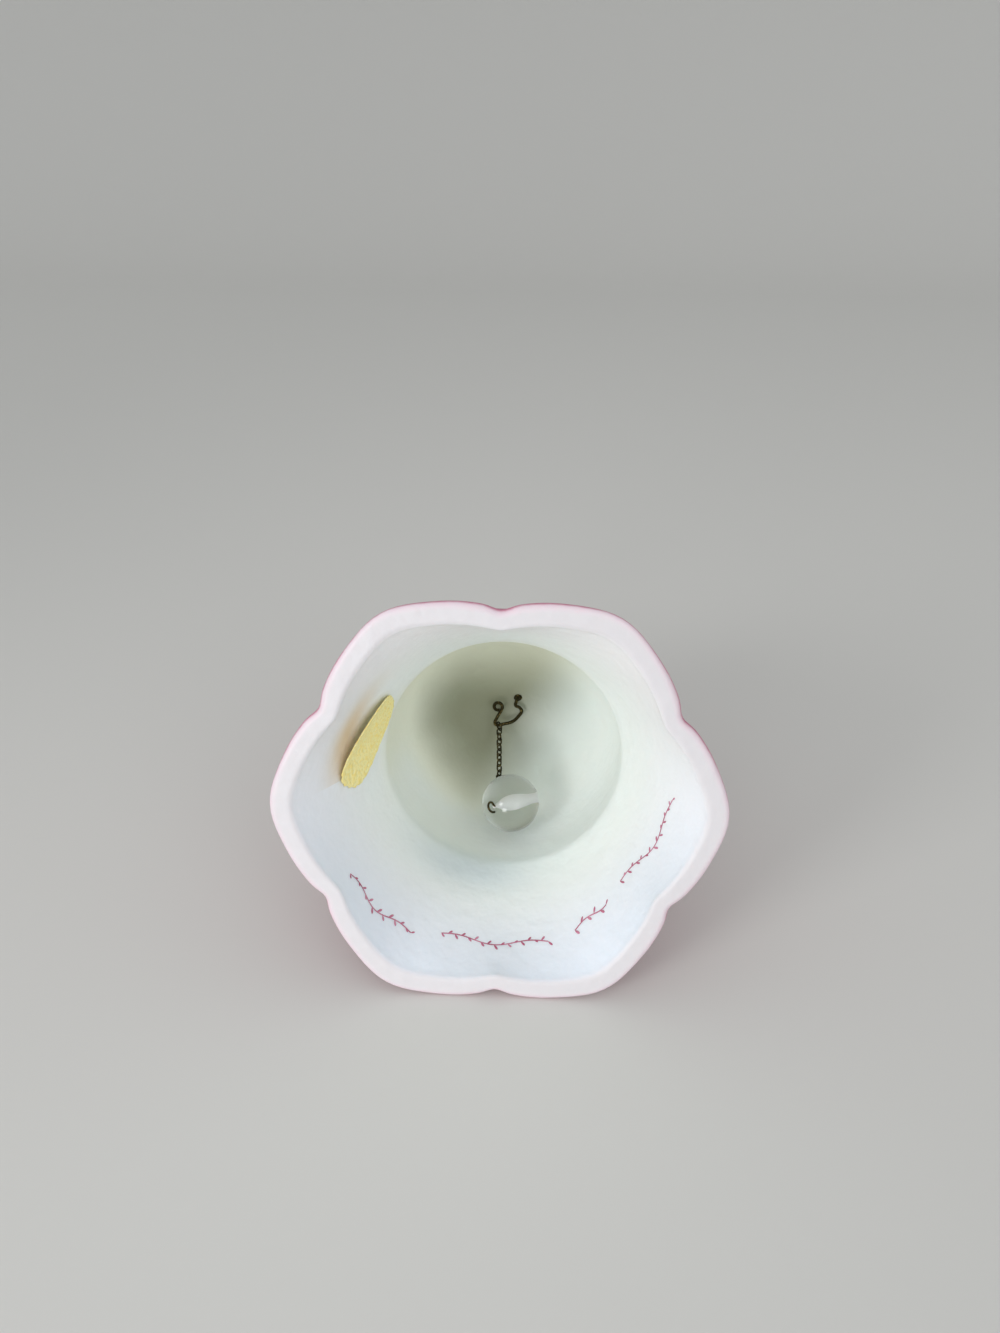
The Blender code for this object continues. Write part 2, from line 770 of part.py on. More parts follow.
def build():
    """Builds the bell and everything that hangs in it."""
    clear_scene()
    glass = glass_mesh()
    frame = bpy.data.objects.new("lying_bell", None)
    bpy.context.scene.collection.objects.link(frame)
    frame.matrix_world = lying_matrix(glass)
    root = Placed(frame, Matrix.Identity(4))
    add_glass_bell(root, glass)
    add_label(root)
    old_brass = material("old_brass_wire", (0.07, 0.055, 0.025), 0.5, 1.0)
    hook = add_hook(root, old_brass)
    route = ChainRoute()
    ring = add_ring(hook, old_brass, route)
    last_link = add_links(ring, old_brass, route)
    pin = add_pin(last_link, old_brass, route)
    add_bead(pin, route)


if __name__ == "__main__":
    build()
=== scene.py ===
"""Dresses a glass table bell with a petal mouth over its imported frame.

Places inside the bell are in the bell's own frame, in millimetres: x across to the
right and y downwards as seen from the mouth, and z deep towards the handle. The rim
mount and the joints of the frame say where the bell, the chain and the bead lie.
"""

import json
import logging
import math
from dataclasses import dataclass, fields, replace
from enum import Enum
from typing import Any, Callable, Sequence, TypeVar, Union

import bmesh
import bpy
from mathutils import Matrix, Vector


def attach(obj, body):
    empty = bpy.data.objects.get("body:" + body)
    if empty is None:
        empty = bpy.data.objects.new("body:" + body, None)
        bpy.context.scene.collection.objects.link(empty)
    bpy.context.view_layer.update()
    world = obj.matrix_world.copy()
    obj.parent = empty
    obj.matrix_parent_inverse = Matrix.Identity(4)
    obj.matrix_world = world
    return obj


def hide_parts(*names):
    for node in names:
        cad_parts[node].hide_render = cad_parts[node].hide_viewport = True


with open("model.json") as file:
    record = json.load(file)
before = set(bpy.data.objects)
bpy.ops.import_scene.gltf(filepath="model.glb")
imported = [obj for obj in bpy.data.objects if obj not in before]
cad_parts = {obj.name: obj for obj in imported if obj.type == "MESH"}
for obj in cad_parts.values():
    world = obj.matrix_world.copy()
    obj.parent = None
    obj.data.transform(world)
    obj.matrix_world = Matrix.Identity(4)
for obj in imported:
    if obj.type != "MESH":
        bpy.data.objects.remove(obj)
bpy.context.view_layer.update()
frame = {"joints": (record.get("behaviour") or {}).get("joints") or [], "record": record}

LOG = logging.getLogger("table_bell")
MM = 0.001
WIRE_UNEVEN = 0.035
WIRE_WAVE = 1.1
BEND_STEPS = 8
TURN = 2.0 * math.pi
QUARTER = math.pi / 2.0
Colour = tuple[float, float, float]
Place = tuple[float, float, float]
Pair = tuple[float, float]
Socket = bpy.types.NodeSocket
Material = bpy.types.Material
Number = Union[float, "Term"]
Sizes = TypeVar("Sizes")


def srgb(red: int, green: int, blue: int) -> Colour:
    """Linear colour of an 8-bit display colour.

    Args:
        red: Red, from 0 to 255.
        green: Green, from 0 to 255.
        blue: Blue, from 0 to 255.

    Returns:
        The three linear values.
    """
    shares = (value / 255.0 for value in (red, green, blue))
    linear = [s / 12.92 if s <= 0.04045 else ((s + 0.055) / 1.055) ** 2.4 for s in shares]
    return (linear[0], linear[1], linear[2])


# Node trees and the sums in them


def _operator(operation: str, swapped: bool = False) -> Callable[["Term", Number], "Term"]:
    """Makes an operator of Term.

    Args:
        operation: The Math node's operation.
        swapped: Whether the other value stands on the left.

    Returns:
        The operator's method.
    """

    def method(self: "Term", other: Number) -> "Term":
        """Adds the Math node."""
        return self.tree.maths(operation, *((other, self) if swapped else (self, other)))

    return method


class Term:
    """A socket of a node tree whose operators add Math nodes."""

    def __init__(self, tree: "Tree", socket: Socket) -> None:
        """Wraps an output socket of a tree."""
        self.tree = tree
        self.socket = socket

    __add__ = _operator("ADD")
    __radd__ = _operator("ADD", swapped=True)
    __sub__ = _operator("SUBTRACT")
    __rsub__ = _operator("SUBTRACT", swapped=True)
    __mul__ = _operator("MULTIPLY")
    __rmul__ = _operator("MULTIPLY", swapped=True)
    __truediv__ = _operator("DIVIDE")
    __rtruediv__ = _operator("DIVIDE", swapped=True)

    def __neg__(self) -> "Term":
        """Negative."""
        return self * -1.0


class Maths(Enum):
    """Functions of plain numbers and sockets alike, under the names of their Math nodes."""

    SINE = (math.sin,)
    COSINE = (math.cos,)
    SQRT = (math.sqrt,)
    EXPONENT = (math.exp,)
    POWER = (math.pow,)
    ABSOLUTE = (abs,)
    MAXIMUM = (max,)
    MINIMUM = (min,)
    ARCTAN2 = (math.atan2,)
    FLOORED_MODULO = (lambda value, step: value % step,)
    GREATER_THAN = (lambda value, edge: float(value > edge),)

    def __call__(self, *values: Number) -> Any:
        """Works the function out, or adds its Math node where a value is a socket.

        Args:
            values: The function's values.

        Returns:
            A plain number, or a term where a value is one.
        """
        owner = next((value for value in values if isinstance(value, Term)), None)
        return owner.tree.maths(self.name, *values) if owner else self.value[0](*values)


def clamped(value: Number) -> Any:
    """The value held between 0 and 1."""
    return Maths.MINIMUM(1.0, Maths.MAXIMUM(0.0, value))


def rising(value: Number, start: float, end: float) -> Any:
    """A smooth step from 0 where a value is at its start to 1 at its end."""
    share = clamped((value - start) / (end - start))
    return share * share * (3.0 - 2.0 * share)


def bell_curve(value: Number) -> Any:
    """A soft hump that is 1 at 0 and falls away on both sides."""
    return Maths.EXPONENT(-(value * value))


def on_circle(radius: Number, angle: Number) -> tuple[Any, Any]:
    """The two parts of a place on a circle."""
    return radius * Maths.COSINE(angle), radius * Maths.SINE(angle)


class Tree:
    """A node tree with one way to add a node."""

    def __init__(self, nodes: bpy.types.NodeTree) -> None:
        """Wraps a tree of Blender."""
        self.tree = nodes

    def feed(self, socket: Socket, value: Any) -> None:
        """Links a term or a socket to an input, or sets a plain value on it.

        Args:
            socket: The input.
            value: What it is given.
        """
        source = value.socket if isinstance(value, Term) else value
        if isinstance(source, Socket):
            self.tree.links.new(source, socket)
        else:
            socket.default_value = source

    def node(
        self,
        kind: str,
        settings: dict[str, Any] | None = None,
        sockets: dict[int | str, Any] | None = None,
    ) -> bpy.types.Node:
        """Adds a node.

        Args:
            kind: The node's type.
            settings: Its settings, set first; "stops" are a ramp's places and colours.
            sockets: Values or links of its inputs, by name or number.

        Returns:
            The node.
        """
        made = self.tree.nodes.new(kind)
        for name, value in (settings or {}).items():
            if name == "stops":
                self._set_stops(made.color_ramp, value)
            else:
                setattr(made, name, value)
        for key, value in (sockets or {}).items():
            self.feed(made.inputs[key], value)
        return made

    def out(
        self,
        kind: str,
        settings: dict[str, Any] | None = None,
        sockets: dict[int | str, Any] | None = None,
    ) -> Socket:
        """Adds a node as node() does and gives its first output."""
        return self.node(kind, settings, sockets).outputs[0]

    @staticmethod
    def _set_stops(ramp: bpy.types.ColorRamp, stops: Sequence[tuple[float, Colour]]) -> None:
        """Gives a ramp its stops, with smooth steps between them.

        Args:
            ramp: The ramp.
            stops: The place and the colour of each stop.
        """
        ramp.interpolation = "EASE"
        while len(ramp.elements) < len(stops):
            ramp.elements.new(1.0)
        for element, (place, colour) in zip(ramp.elements, stops):
            element.position = place
            element.color = (*colour, 1.0)

    def maths(self, operation: str, *values: Number) -> Term:
        """Adds a Math node and gives its value."""
        sockets: dict[int | str, Any] = dict(enumerate(values))
        return Term(self, self.out("ShaderNodeMath", {"operation": operation}, sockets))

    def split(self, vector: Any) -> tuple[Term, Term, Term]:
        """The three parts of a vector."""
        made = self.node("ShaderNodeSeparateXYZ", sockets={0: vector})
        return tuple(Term(self, output) for output in made.outputs)

    def joined(self, x: Number, y: Number, z: Number) -> Socket:
        """A vector of three parts."""
        return self.out("ShaderNodeCombineXYZ", sockets={0: x, 1: y, 2: z})

    def noise(self, vector: Any, scale: float, detail: float = 2.0) -> Term:
        """Noise from 0 to 1 over a vector."""
        sockets = {"Vector": vector, "Scale": scale, "Detail": detail}
        return Term(self, self.out("ShaderNodeTexNoise", sockets=sockets))


# Shape trees


class ShapeTree(Tree):
    """A Geometry Nodes tree with named inputs for its sizes."""

    def __init__(self, name: str) -> None:
        """Starts a tree with a geometry input and output.

        Args:
            name: The tree's name.
        """
        group = bpy.data.node_groups.new(name, "GeometryNodeTree")
        for way in ("INPUT", "OUTPUT"):
            group.interface.new_socket("Geometry", in_out=way, socket_type="NodeSocketGeometry")
        super().__init__(group)
        self.values: dict[str, float] = {}
        self.source = group.nodes.new("NodeGroupInput")

    def size(self, name: str, value: float) -> Term:
        """Adds a named input for one size.

        Args:
            name: The input's name.
            value: The size.

        Returns:
            The input's term.
        """
        made = self.tree.interface.new_socket(
            name, in_out="INPUT", socket_type="NodeSocketFloat"
        )
        made.default_value = value
        self.values[made.identifier] = value
        found = [o for o in self.source.outputs if o.identifier == made.identifier]
        return Term(self, found[0])

    def sized(self, sizes: Sizes) -> Sizes:
        """A copy of some sizes in which each plain number is an input of this tree.

        Args:
            sizes: A dataclass of sizes.

        Returns:
            The copy, whose other fields are kept.
        """
        numbers = {
            part.name: self.size(part.name, getattr(sizes, part.name))
            for part in fields(sizes)
            if isinstance(getattr(sizes, part.name), float)
        }
        return replace(sizes, **numbers)

    def where(self) -> Socket:
        """The place of each point, as a vector."""
        return self.out("GeometryNodeInputPosition")

    def index(self) -> Term:
        """The number of each point."""
        return Term(self, self.out("GeometryNodeInputIndex"))

    def grid(self, columns: int, rows: int) -> tuple[Socket, Term, Term]:
        """A flat grid to be bent.

        Args:
            columns: Its points along X.
            rows: Its points along Y.

        Returns:
            The grid and its shares along X and Y, each from 0 to 1.
        """
        sockets = {"Size X": 1.0, "Size Y": 1.0, "Vertices X": columns, "Vertices Y": rows}
        made = self.out("GeometryNodeMeshGrid", sockets=sockets)
        x, y, _ = self.split(self.where())
        return made, x + 0.5, y + 0.5

    def ball(self, segments: int, rings: int, radius: Number = 1.0) -> Socket:
        """A round ball at the origin."""
        sockets = {"Segments": segments, "Rings": rings, "Radius": radius}
        return self.out("GeometryNodeMeshUVSphere", sockets=sockets)

    def placed(self, geometry: Any, x: Number, y: Number, z: Number) -> Socket:
        """Moves each point of a geometry to a place."""
        sockets = {"Geometry": geometry, "Position": self.joined(x, y, z)}
        return self.out("GeometryNodeSetPosition", sockets=sockets)

    def stored(self, geometry: Any, name: str, value: Any, kind: str) -> Socket:
        """Keeps a value on the points of a geometry.

        Args:
            geometry: The geometry.
            name: The attribute's name.
            value: Its value.
            kind: Its type of data.

        Returns:
            The geometry with the attribute.
        """
        settings = {"data_type": kind, "domain": "POINT"}
        sockets = {"Geometry": geometry, "Name": name, "Value": value}
        return self.out("GeometryNodeStoreNamedAttribute", settings, sockets)

    def gathered(self, parts: Sequence[Any]) -> Socket:
        """Several geometries as one.

        Args:
            parts: The geometries.

        Returns:
            All of them.
        """
        made = self.node("GeometryNodeJoinGeometry")
        for part in parts:
            self.tree.links.new(part, made.inputs[0])
        return made.outputs[0]

    def merged(self, parts: Sequence[Any], distance: float) -> Socket:
        """Several geometries as one, with the points nearer than a distance made one."""
        sockets = {"Geometry": self.gathered(parts), "Distance": distance}
        return self.out("GeometryNodeMergeByDistance", sockets=sockets)

    def _softened(self, curve: Socket) -> Socket:
        """Makes a curve bend softly through its knots.

        Args:
            curve: The curve, with straight sides.

        Returns:
            The softened curve.
        """
        for kind, settings in (
            ("GeometryNodeCurveSplineType", {"spline_type": "BEZIER"}),
            ("GeometryNodeCurveSetHandles", {"handle_type": "AUTO"}),
        ):
            curve = self.out(kind, settings, {"Curve": curve})
        sockets = {"Geometry": curve, "Resolution": BEND_STEPS}
        return self.out("GeometryNodeSetSplineResolution", sockets=sockets)

    def wire(self, knots: Any, diameter: Number, soft: bool, sides: int = 14) -> Socket:
        """Round, slightly uneven wire along a chain of knots.

        Args:
            knots: A mesh whose edges run along the wire.
            diameter: Diameter of the wire; it is thinner in places.
            soft: Whether the wire bends softly through its knots.
            sides: Sides of its section.

        Returns:
            The wire's geometry.
        """
        curve = self.out("GeometryNodeMeshToCurve", sockets={"Mesh": knots})
        curve = self._softened(curve) if soft else curve
        radius = diameter * (0.5 - WIRE_UNEVEN * self.noise(self.where(), WIRE_WAVE))
        sockets = {"Curve": curve, "Radius": radius}
        curve = self.out("GeometryNodeSetCurveRadius", sockets=sockets)
        section = self.out("GeometryNodeCurvePrimitiveCircle", sockets={"Resolution": sides})
        scale = self.out("GeometryNodeInputRadius")
        sockets = {"Curve": curve, "Profile Curve": section, "Scale": scale, "Fill Caps": True}
        return self.out("GeometryNodeCurveToMesh", sockets=sockets)

    def close(
        self,
        geometry: Any,
        material: Material,
        picked: Material | None = None,
        where: Any = None,
    ) -> None:
        """Ends the tree in realized instances, smooth faces and materials.

        Args:
            geometry: The finished geometry.
            material: The material of all faces.
            picked: The material of some faces.
            where: Which faces those are.
        """
        made = self.out("GeometryNodeRealizeInstances", sockets={0: geometry})
        made = self.out("GeometryNodeSetShadeSmooth", sockets={0: made})
        sockets = {"Geometry": made, "Material": material}
        made = self.out("GeometryNodeSetMaterial", sockets=sockets)
        if picked:
            sockets = {"Geometry": made, "Selection": where, "Material": picked}
            made = self.out("GeometryNodeSetMaterial", sockets=sockets)
        end = self.tree.nodes.new("NodeGroupOutput")
        self.tree.links.new(made, end.inputs[0])

    def mesh(self, name: str, path: bpy.types.Mesh | None = None) -> bpy.types.Mesh:
        """Works the tree out and turns its faces outwards.

        Args:
            name: Name of the new mesh.
            path: A mesh for the tree's geometry input, where it has one.

        Returns:
            The plain mesh, in millimetres.
        """
        carrier = linked(name, path or bpy.data.meshes.new(name))
        modifier = carrier.modifiers.new("shape", "NODES")
        modifier.node_group = self.tree
        for identifier, value in self.values.items():
            modifier[identifier] = value
        depsgraph = bpy.context.evaluated_depsgraph_get()
        made = bpy.data.meshes.new_from_object(
            carrier.evaluated_get(depsgraph),
            preserve_all_data_layers=True,
            depsgraph=depsgraph,
        )
        bpy.data.objects.remove(carrier, do_unlink=True)
        turned = bmesh.new()
        turned.from_mesh(made)
        bmesh.ops.recalc_face_normals(turned, faces=turned.faces)
        turned.to_mesh(made)
        turned.free()
        made.name = name
        return made


def linked(name: str, data: Any) -> bpy.types.Object:
    """Adds an object to the scene.

    Args:
        name: The object's name.
        data: Its mesh, lamp or camera.

    Returns:
        The object.
    """
    made = bpy.data.objects.new(name, data)
    bpy.context.scene.collection.objects.link(made)
    return made


def knot_mesh(name: str, knots: Sequence[Vector]) -> bpy.types.Mesh:
    """A mesh of edges along some knots, for the geometry input of a shape tree.

    Args:
        name: The mesh's name.
        knots: Its points, in order.

    Returns:
        The mesh.
    """
    mesh = bpy.data.meshes.new(name)
    edges = [(k, k + 1) for k in range(len(knots) - 1)]
    mesh.from_pydata([tuple(knot) for knot in knots], edges, [])
    return mesh


def add_piece(
    name: str,
    mesh: bpy.types.Mesh,
    matrix: Matrix,
    body: str,
    stands_for: Sequence[str] = (),
) -> None:
    """Puts a finished mesh on a body of the frame, as an object at the origin.

    Args:
        name: Name of the piece.
        mesh: Its mesh, in millimetres in its own frame.
        matrix: That frame in the scene, with its scale to metres.
        body: The body that the piece rides on.
        stands_for: The nodes of the frame that the piece replaces.
    """
    mesh.transform(matrix)
    piece = linked(name, mesh)
    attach(piece, body)
    if stands_for:
        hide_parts(*stands_for)
    LOG.info("%s: %d faces on %s", name, len(mesh.polygons), body)


# Form of the bell


@dataclass(frozen=True)
class BellForm:
    """The petals and the profile of the glass; each formula takes numbers or sockets."""

    petals: float = 6.0
    mouth_radius: float = 54.0
    lip_width: float = 5.3
    lobe_share: float = 0.049
    lobe_sharpness: float = 0.0038
    pinch_share: float = 0.024
    pinch_half_angle: float = math.radians(3.2)
    pinch_depth: float = 4.0
    lobe_fade_depth: float = 37.0
    lobe_fade_power: float = 3.0
    outer_edge_round: float = 1.6
    inner_edge_round: float = 1.3
    inside_pinch: float = 0.25
    waist_depth: float = 38.5
    waist_radius: float = 36.4
    waist_wall: float = 3.4
    bulge_depth: float = 50.0
    bulge_out: float = 0.7
    inner_crease: float = 0.6
    outer_crease: float = 3.0
    crown_depth: float = 87.2
    crown_thickness: float = 8.0
    handle_end_depth: float = 164.5
    stem_radius: float = 7.0
    collar_depth: float = 102.0
    collar_out: float = 3.0
    collar_half_length: float = 3.6
    belly_depth: float = 125.0
    belly_out: float = 2.6
    belly_half_length: float = 17.0
    knob_radius: float = 10.5
    knob_half_length: float = 9.0
    blend_power: float = 6.0

    def petal_share(self, angle: Number, depth: Number, wall: Number) -> Any:
        """How much wider or narrower the glass is at a place than its mean.

        Args:
            angle: Angle round the axis.
            depth: Depth from the mouth.
            wall: Share of the way from the inside to the outside of the glass.

        Returns:
            The share of the mean radius.
        """
        left = Maths.MAXIMUM(0.0, 1.0 - depth / self.lobe_fade_depth)
        fade = Maths.POWER(left, self.lobe_fade_power)
        lobes = self.lobe_share * Maths.COSINE(self.petals * angle)
        lobes = lobes + self.lobe_sharpness * Maths.COSINE(3.0 * self.petals * angle)
        step = TURN / self.petals
        off_notch = Maths.FLOORED_MODULO(angle, step) - step / 2.0
        narrow = off_notch / self.pinch_half_angle
        shallow = depth / self.pinch_depth
        pinch = Maths.EXPONENT(-(narrow * narrow) - shallow * shallow)
        pinch = pinch * (self.inside_pinch + (1.0 - self.inside_pinch) * wall)
        return 1.0 + fade * lobes - self.pinch_share * pinch

    def _body_radius(self, depth: Number, waist: Number, crown: Number) -> Any:
        """Radius of the round body from its waist over its bulge to its crown.

        Args:
            depth: Depth from the mouth.
            waist: Radius at the waist.
            crown: Depth of the crown.

        Returns:
            The radius.
        """
        rise = clamped((depth - self.waist_depth) / (self.bulge_depth - self.waist_depth))
        widest = waist + self.bulge_out * Maths.SINE(rise * QUARTER)
        share = clamped((depth - self.bulge_depth) / (crown - self.bulge_depth))
        return widest * Maths.SQRT(Maths.MAXIMUM(0.0, 1.0 - share * share))

    @staticmethod
    def _larger(first: Number, second: Number, softness: Number) -> Any:
        """The larger of two values, rounded where they meet."""
        gap = first - second
        return (first + second) / 2.0 + Maths.SQRT(gap * gap + softness * softness) / 2.0

    def _joined_radius(
        self, depth: Number, mouth: Number, waist: Number, crown: Number, crease: Number
    ) -> Any:
        """Radius of the flared skirt and the body with a soft crease between them.

        Args:
            depth: Depth from the mouth.
            mouth: Radius at the mouth.
            waist: Radius at the waist.
            crown: Depth of the crown.
            crease: Softness of the crease.

        Returns:
            The radius.
        """
        skirt = waist + (mouth - waist) * (1.0 - depth / self.waist_depth)
        body = self._body_radius(depth, waist, crown)
        past = self.bulge_depth / self.waist_depth - 1.0
        bulge = waist + self.bulge_out
        excess = self._larger(waist - (mouth - waist) * past, bulge, crease) - bulge
        near = self._larger(skirt, body, crease) - excess * depth / self.bulge_depth
        far = Maths.GREATER_THAN(depth, self.bulge_depth)
        return near + (body - near) * far

    def inner_radius(self, depth: Number) -> Any:
        """Mean radius of the inside at a depth.

        Args:
            depth: Depth from the mouth.

        Returns:
            The radius.
        """
        mouth = self.mouth_radius - self.lip_width
        waist = self.waist_radius - self.waist_wall
        return self._joined_radius(depth, mouth, waist, self.crown_depth, self.inner_crease)

    @staticmethod
    def _swelling(depth: Number, centre: Number, half_length: Number) -> Any:
        """A smooth rise from 0 to 1 and back around a centre.

        Args:
            depth: Depth from the mouth.
            centre: Depth of the swelling's middle.
            half_length: Its length on each side of that.

        Returns:
            The rise.
        """
        share = Maths.MINIMUM(1.0, Maths.ABSOLUTE((depth - centre) / half_length))
        rise = Maths.COSINE(share * QUARTER)
        return rise * rise

    def knob_centre(self) -> Any:
        """Depth of the middle of the knob."""
        return self.handle_end_depth - self.knob_half_length

    def outer_radius(self, depth: Number) -> Any:
        """Mean radius of the outside, over the body, the collar, the belly and the knob.

        Args:
            depth: Depth from the mouth.

        Returns:
            The radius.
        """
        crown = self.crown_depth + self.crown_thickness
        body = self._joined_radius(
            depth, self.mouth_radius, self.waist_radius, crown, self.outer_crease
        )
        collar = self._swelling(depth, self.collar_depth, self.collar_half_length)
        belly = self._swelling(depth, self.belly_depth, self.belly_half_length)
        stem = self.stem_radius + self.collar_out * collar + self.belly_out * belly
        off = (depth - self.knob_centre()) / self.knob_half_length
        from_knob = Maths.MINIMUM(1.0, Maths.ABSOLUTE(off))
        past_knob = clamped(off)
        knob = self.knob_radius * Maths.SQRT(1.0 - from_knob * from_knob)
        stem = stem * Maths.SQRT(1.0 - past_knob * past_knob)
        total = Maths.POWER(body, self.blend_power) + Maths.POWER(stem, self.blend_power)
        total = total + Maths.POWER(knob, self.blend_power)
        return Maths.POWER(total, 1.0 / self.blend_power)

    def inside_wall(self, angle: Number, depth: Number, lift: Number) -> tuple[Any, Any, Any]:
        """A place on the inside of the glass, or lifted off it towards the axis."""
        radius = self.inner_radius(depth) * self.petal_share(angle, depth, 0.0) - lift
        return (*on_circle(radius, angle), depth)


class BellFrame:
    """The bell's own frame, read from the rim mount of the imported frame."""

    def __init__(self) -> None:
        """Finds the middle of the mouth and the bell's tilt."""
        mounts = {mount["name"]: mount for mount in frame["record"]["mounts"]}
        rim = mounts["rim"]
        inwards = -Vector(rim["axis"]).normalized()
        across = Vector((1.0, 0.0, 0.0))
        down = inwards.cross(across).normalized()
        turn = Matrix((across, down, inwards)).transposed().to_4x4()
        centre = Vector((0.0, rim["pos_m"][1], rim["pos_m"][2]))
        self.up = -down
        self.scaled = Matrix.Translation(centre) @ turn @ Matrix.Scale(MM, 4)


def spot(across: float, up: float, deep: float) -> Vector:
    """A place inside the bell from its sides as seen from the mouth."""
    return Vector((across, -up, deep))


def square_to(line: Vector, wish: Vector) -> Vector:
    """The unit direction square to a line that lies nearest to a wish."""
    return (wish - line * wish.dot(line)).normalized()


class Pivots:
    """Places and axes of the frame's joints, in millimetres of the scene."""

    def __init__(self) -> None:
        """Reads the joints and the line of the chain."""
        joints = {joint["name"]: joint for joint in frame["joints"]}
        self.place = {name: Vector(j["pos_m"]) / MM for name, j in joints.items()}
        self.axis = {name: Vector(j["axis"]).normalized() for name, j in joints.items()}
        self.child = {name: j["child"] for name, j in joints.items()}
        self.along = (self.place["pin_swing"] - self.place["ring_swing"]).normalized()
        self.bead = self.place["bead_spin"]
        axis = self.axis["bead_spin"]
        self.near = -axis if axis.y > 0 else axis

    def loop_matrix(self, joint: str, after: str) -> Matrix:
        """Where a loop of wire hangs.

        Args:
            joint: The hinge that the loop hangs on.
            after: The hinge that hangs on the loop.

        Returns:
            The loop's frame in metres: the loop lies square to local X, and local Z
            points back up the chain.
        """
        up = -self.along
        across = square_to(up, self.axis[after])
        turn = Matrix((across.cross(up), across, up)).transposed().to_4x4()
        return Matrix.Scale(MM, 4) @ Matrix.Translation(self.place[joint]) @ turn


# Finishes


class Surface(Tree):
    """The node tree of a new material with a Principled BSDF."""

    def __init__(self, name: str) -> None:
        """Makes the material and its shader.

        Args:
            name: The material's name.
        """
        self.material = bpy.data.materials.new(name)
        self.material.use_nodes = True
        self.material.node_tree.nodes.clear()
        super().__init__(self.material.node_tree)
        self.shader = self.node("ShaderNodeBsdfPrincipled")
        self.node("ShaderNodeOutputMaterial", sockets={"Surface": self.shader.outputs[0]})

    def place(self) -> Socket:
        """The place in the object's own coordinates, in metres."""
        return self.node("ShaderNodeTexCoord").outputs["Object"]

    def attribute(self, name: str, output: str) -> Socket:
        """An attribute that the mesh keeps, as a vector or as one number."""
        return self.node("ShaderNodeAttribute", {"attribute_name": name}).outputs[output]

    def mixed(self, share: Number, first: Any, second: Any) -> Socket:
        """Two colours mixed.

        Args:
            share: Share of the second colour.
            first: A plain colour or a socket.
            second: A plain colour or a socket.

        Returns:
            The mixed colour.
        """
        pair = [(*c, 1.0) if isinstance(c, tuple) else c for c in (first, second)]
        sockets = {0: share, 6: pair[0], 7: pair[1]}
        return self.node("ShaderNodeMix", {"data_type": "RGBA"}, sockets).outputs[2]

    def dressed(self, inputs: dict[str, Any], height: Number, relief: float) -> Material:
        """Feeds the shader and ends the material.

        Args:
            inputs: Values or links of the shader's sockets, by name.
            height: Height of the fine relief.
            relief: Metres of depth for a height of 1.

        Returns:
            The finished material.
        """
        for name, value in inputs.items():
            plain = isinstance(value, tuple) and name != "Subsurface Radius"
            self.feed(self.shader.inputs[name], (*value, 1.0) if plain else value)
        sockets = {"Height": height, "Strength": 1.0, "Distance": relief}
        self.feed(self.shader.inputs["Normal"], self.out("ShaderNodeBump", sockets=sockets))
        return self.material


@dataclass(frozen=True)
class PaintedSideLight:
    """Painted light: a colour that comes in towards the lit side of the lining, between some
    depths.
    """

    colour: Colour
    share: float
    side: Pair
    reach: Pair
    fade_in: Pair | None = None
    fade_out: Pair | None = None

    def spread(self, across: Term, down: Term, deep: Term) -> Any:
        """How much of the colour a place takes.

        Args:
            across: The place's way across.
            down: Its way down.
            deep: Its depth.

        Returns:
            The share.
        """
        towards = self.side[0] * across + self.side[1] * down
        share = self.share * rising(towards, *self.reach)
        if self.fade_in:
            share = share * rising(deep, *self.fade_in)
        if self.fade_out:
            share = share * (1.0 - rising(deep, *self.fade_out))
        return share


@dataclass(frozen=True)
class PaintedShadingPatch:
    """A patch of painted light and shade that lies round a place on the wall: degrees round the
    axis, and a depth.
    """

    colour: Colour
    share: float
    angle: float
    depth: float
    angle_reach: float
    depth_reach: float

    def spread(self, across: Term, down: Term, deep: Term) -> Any:
        """How much of the colour a place takes.

        Args:
            across: The place's way across.
            down: Its way down.
            deep: Its depth.

        Returns:
            The share.
        """
        off = Maths.ARCTAN2(down, across) - math.radians(self.angle)
        around = bell_curve(off / math.radians(self.angle_reach))
        return self.share * around * bell_curve((deep - self.depth) / self.depth_reach)


# Pale mint of the painted light on the lit sides of the body.
PAINTED_LIGHT_MINT = srgb(244, 252, 251)


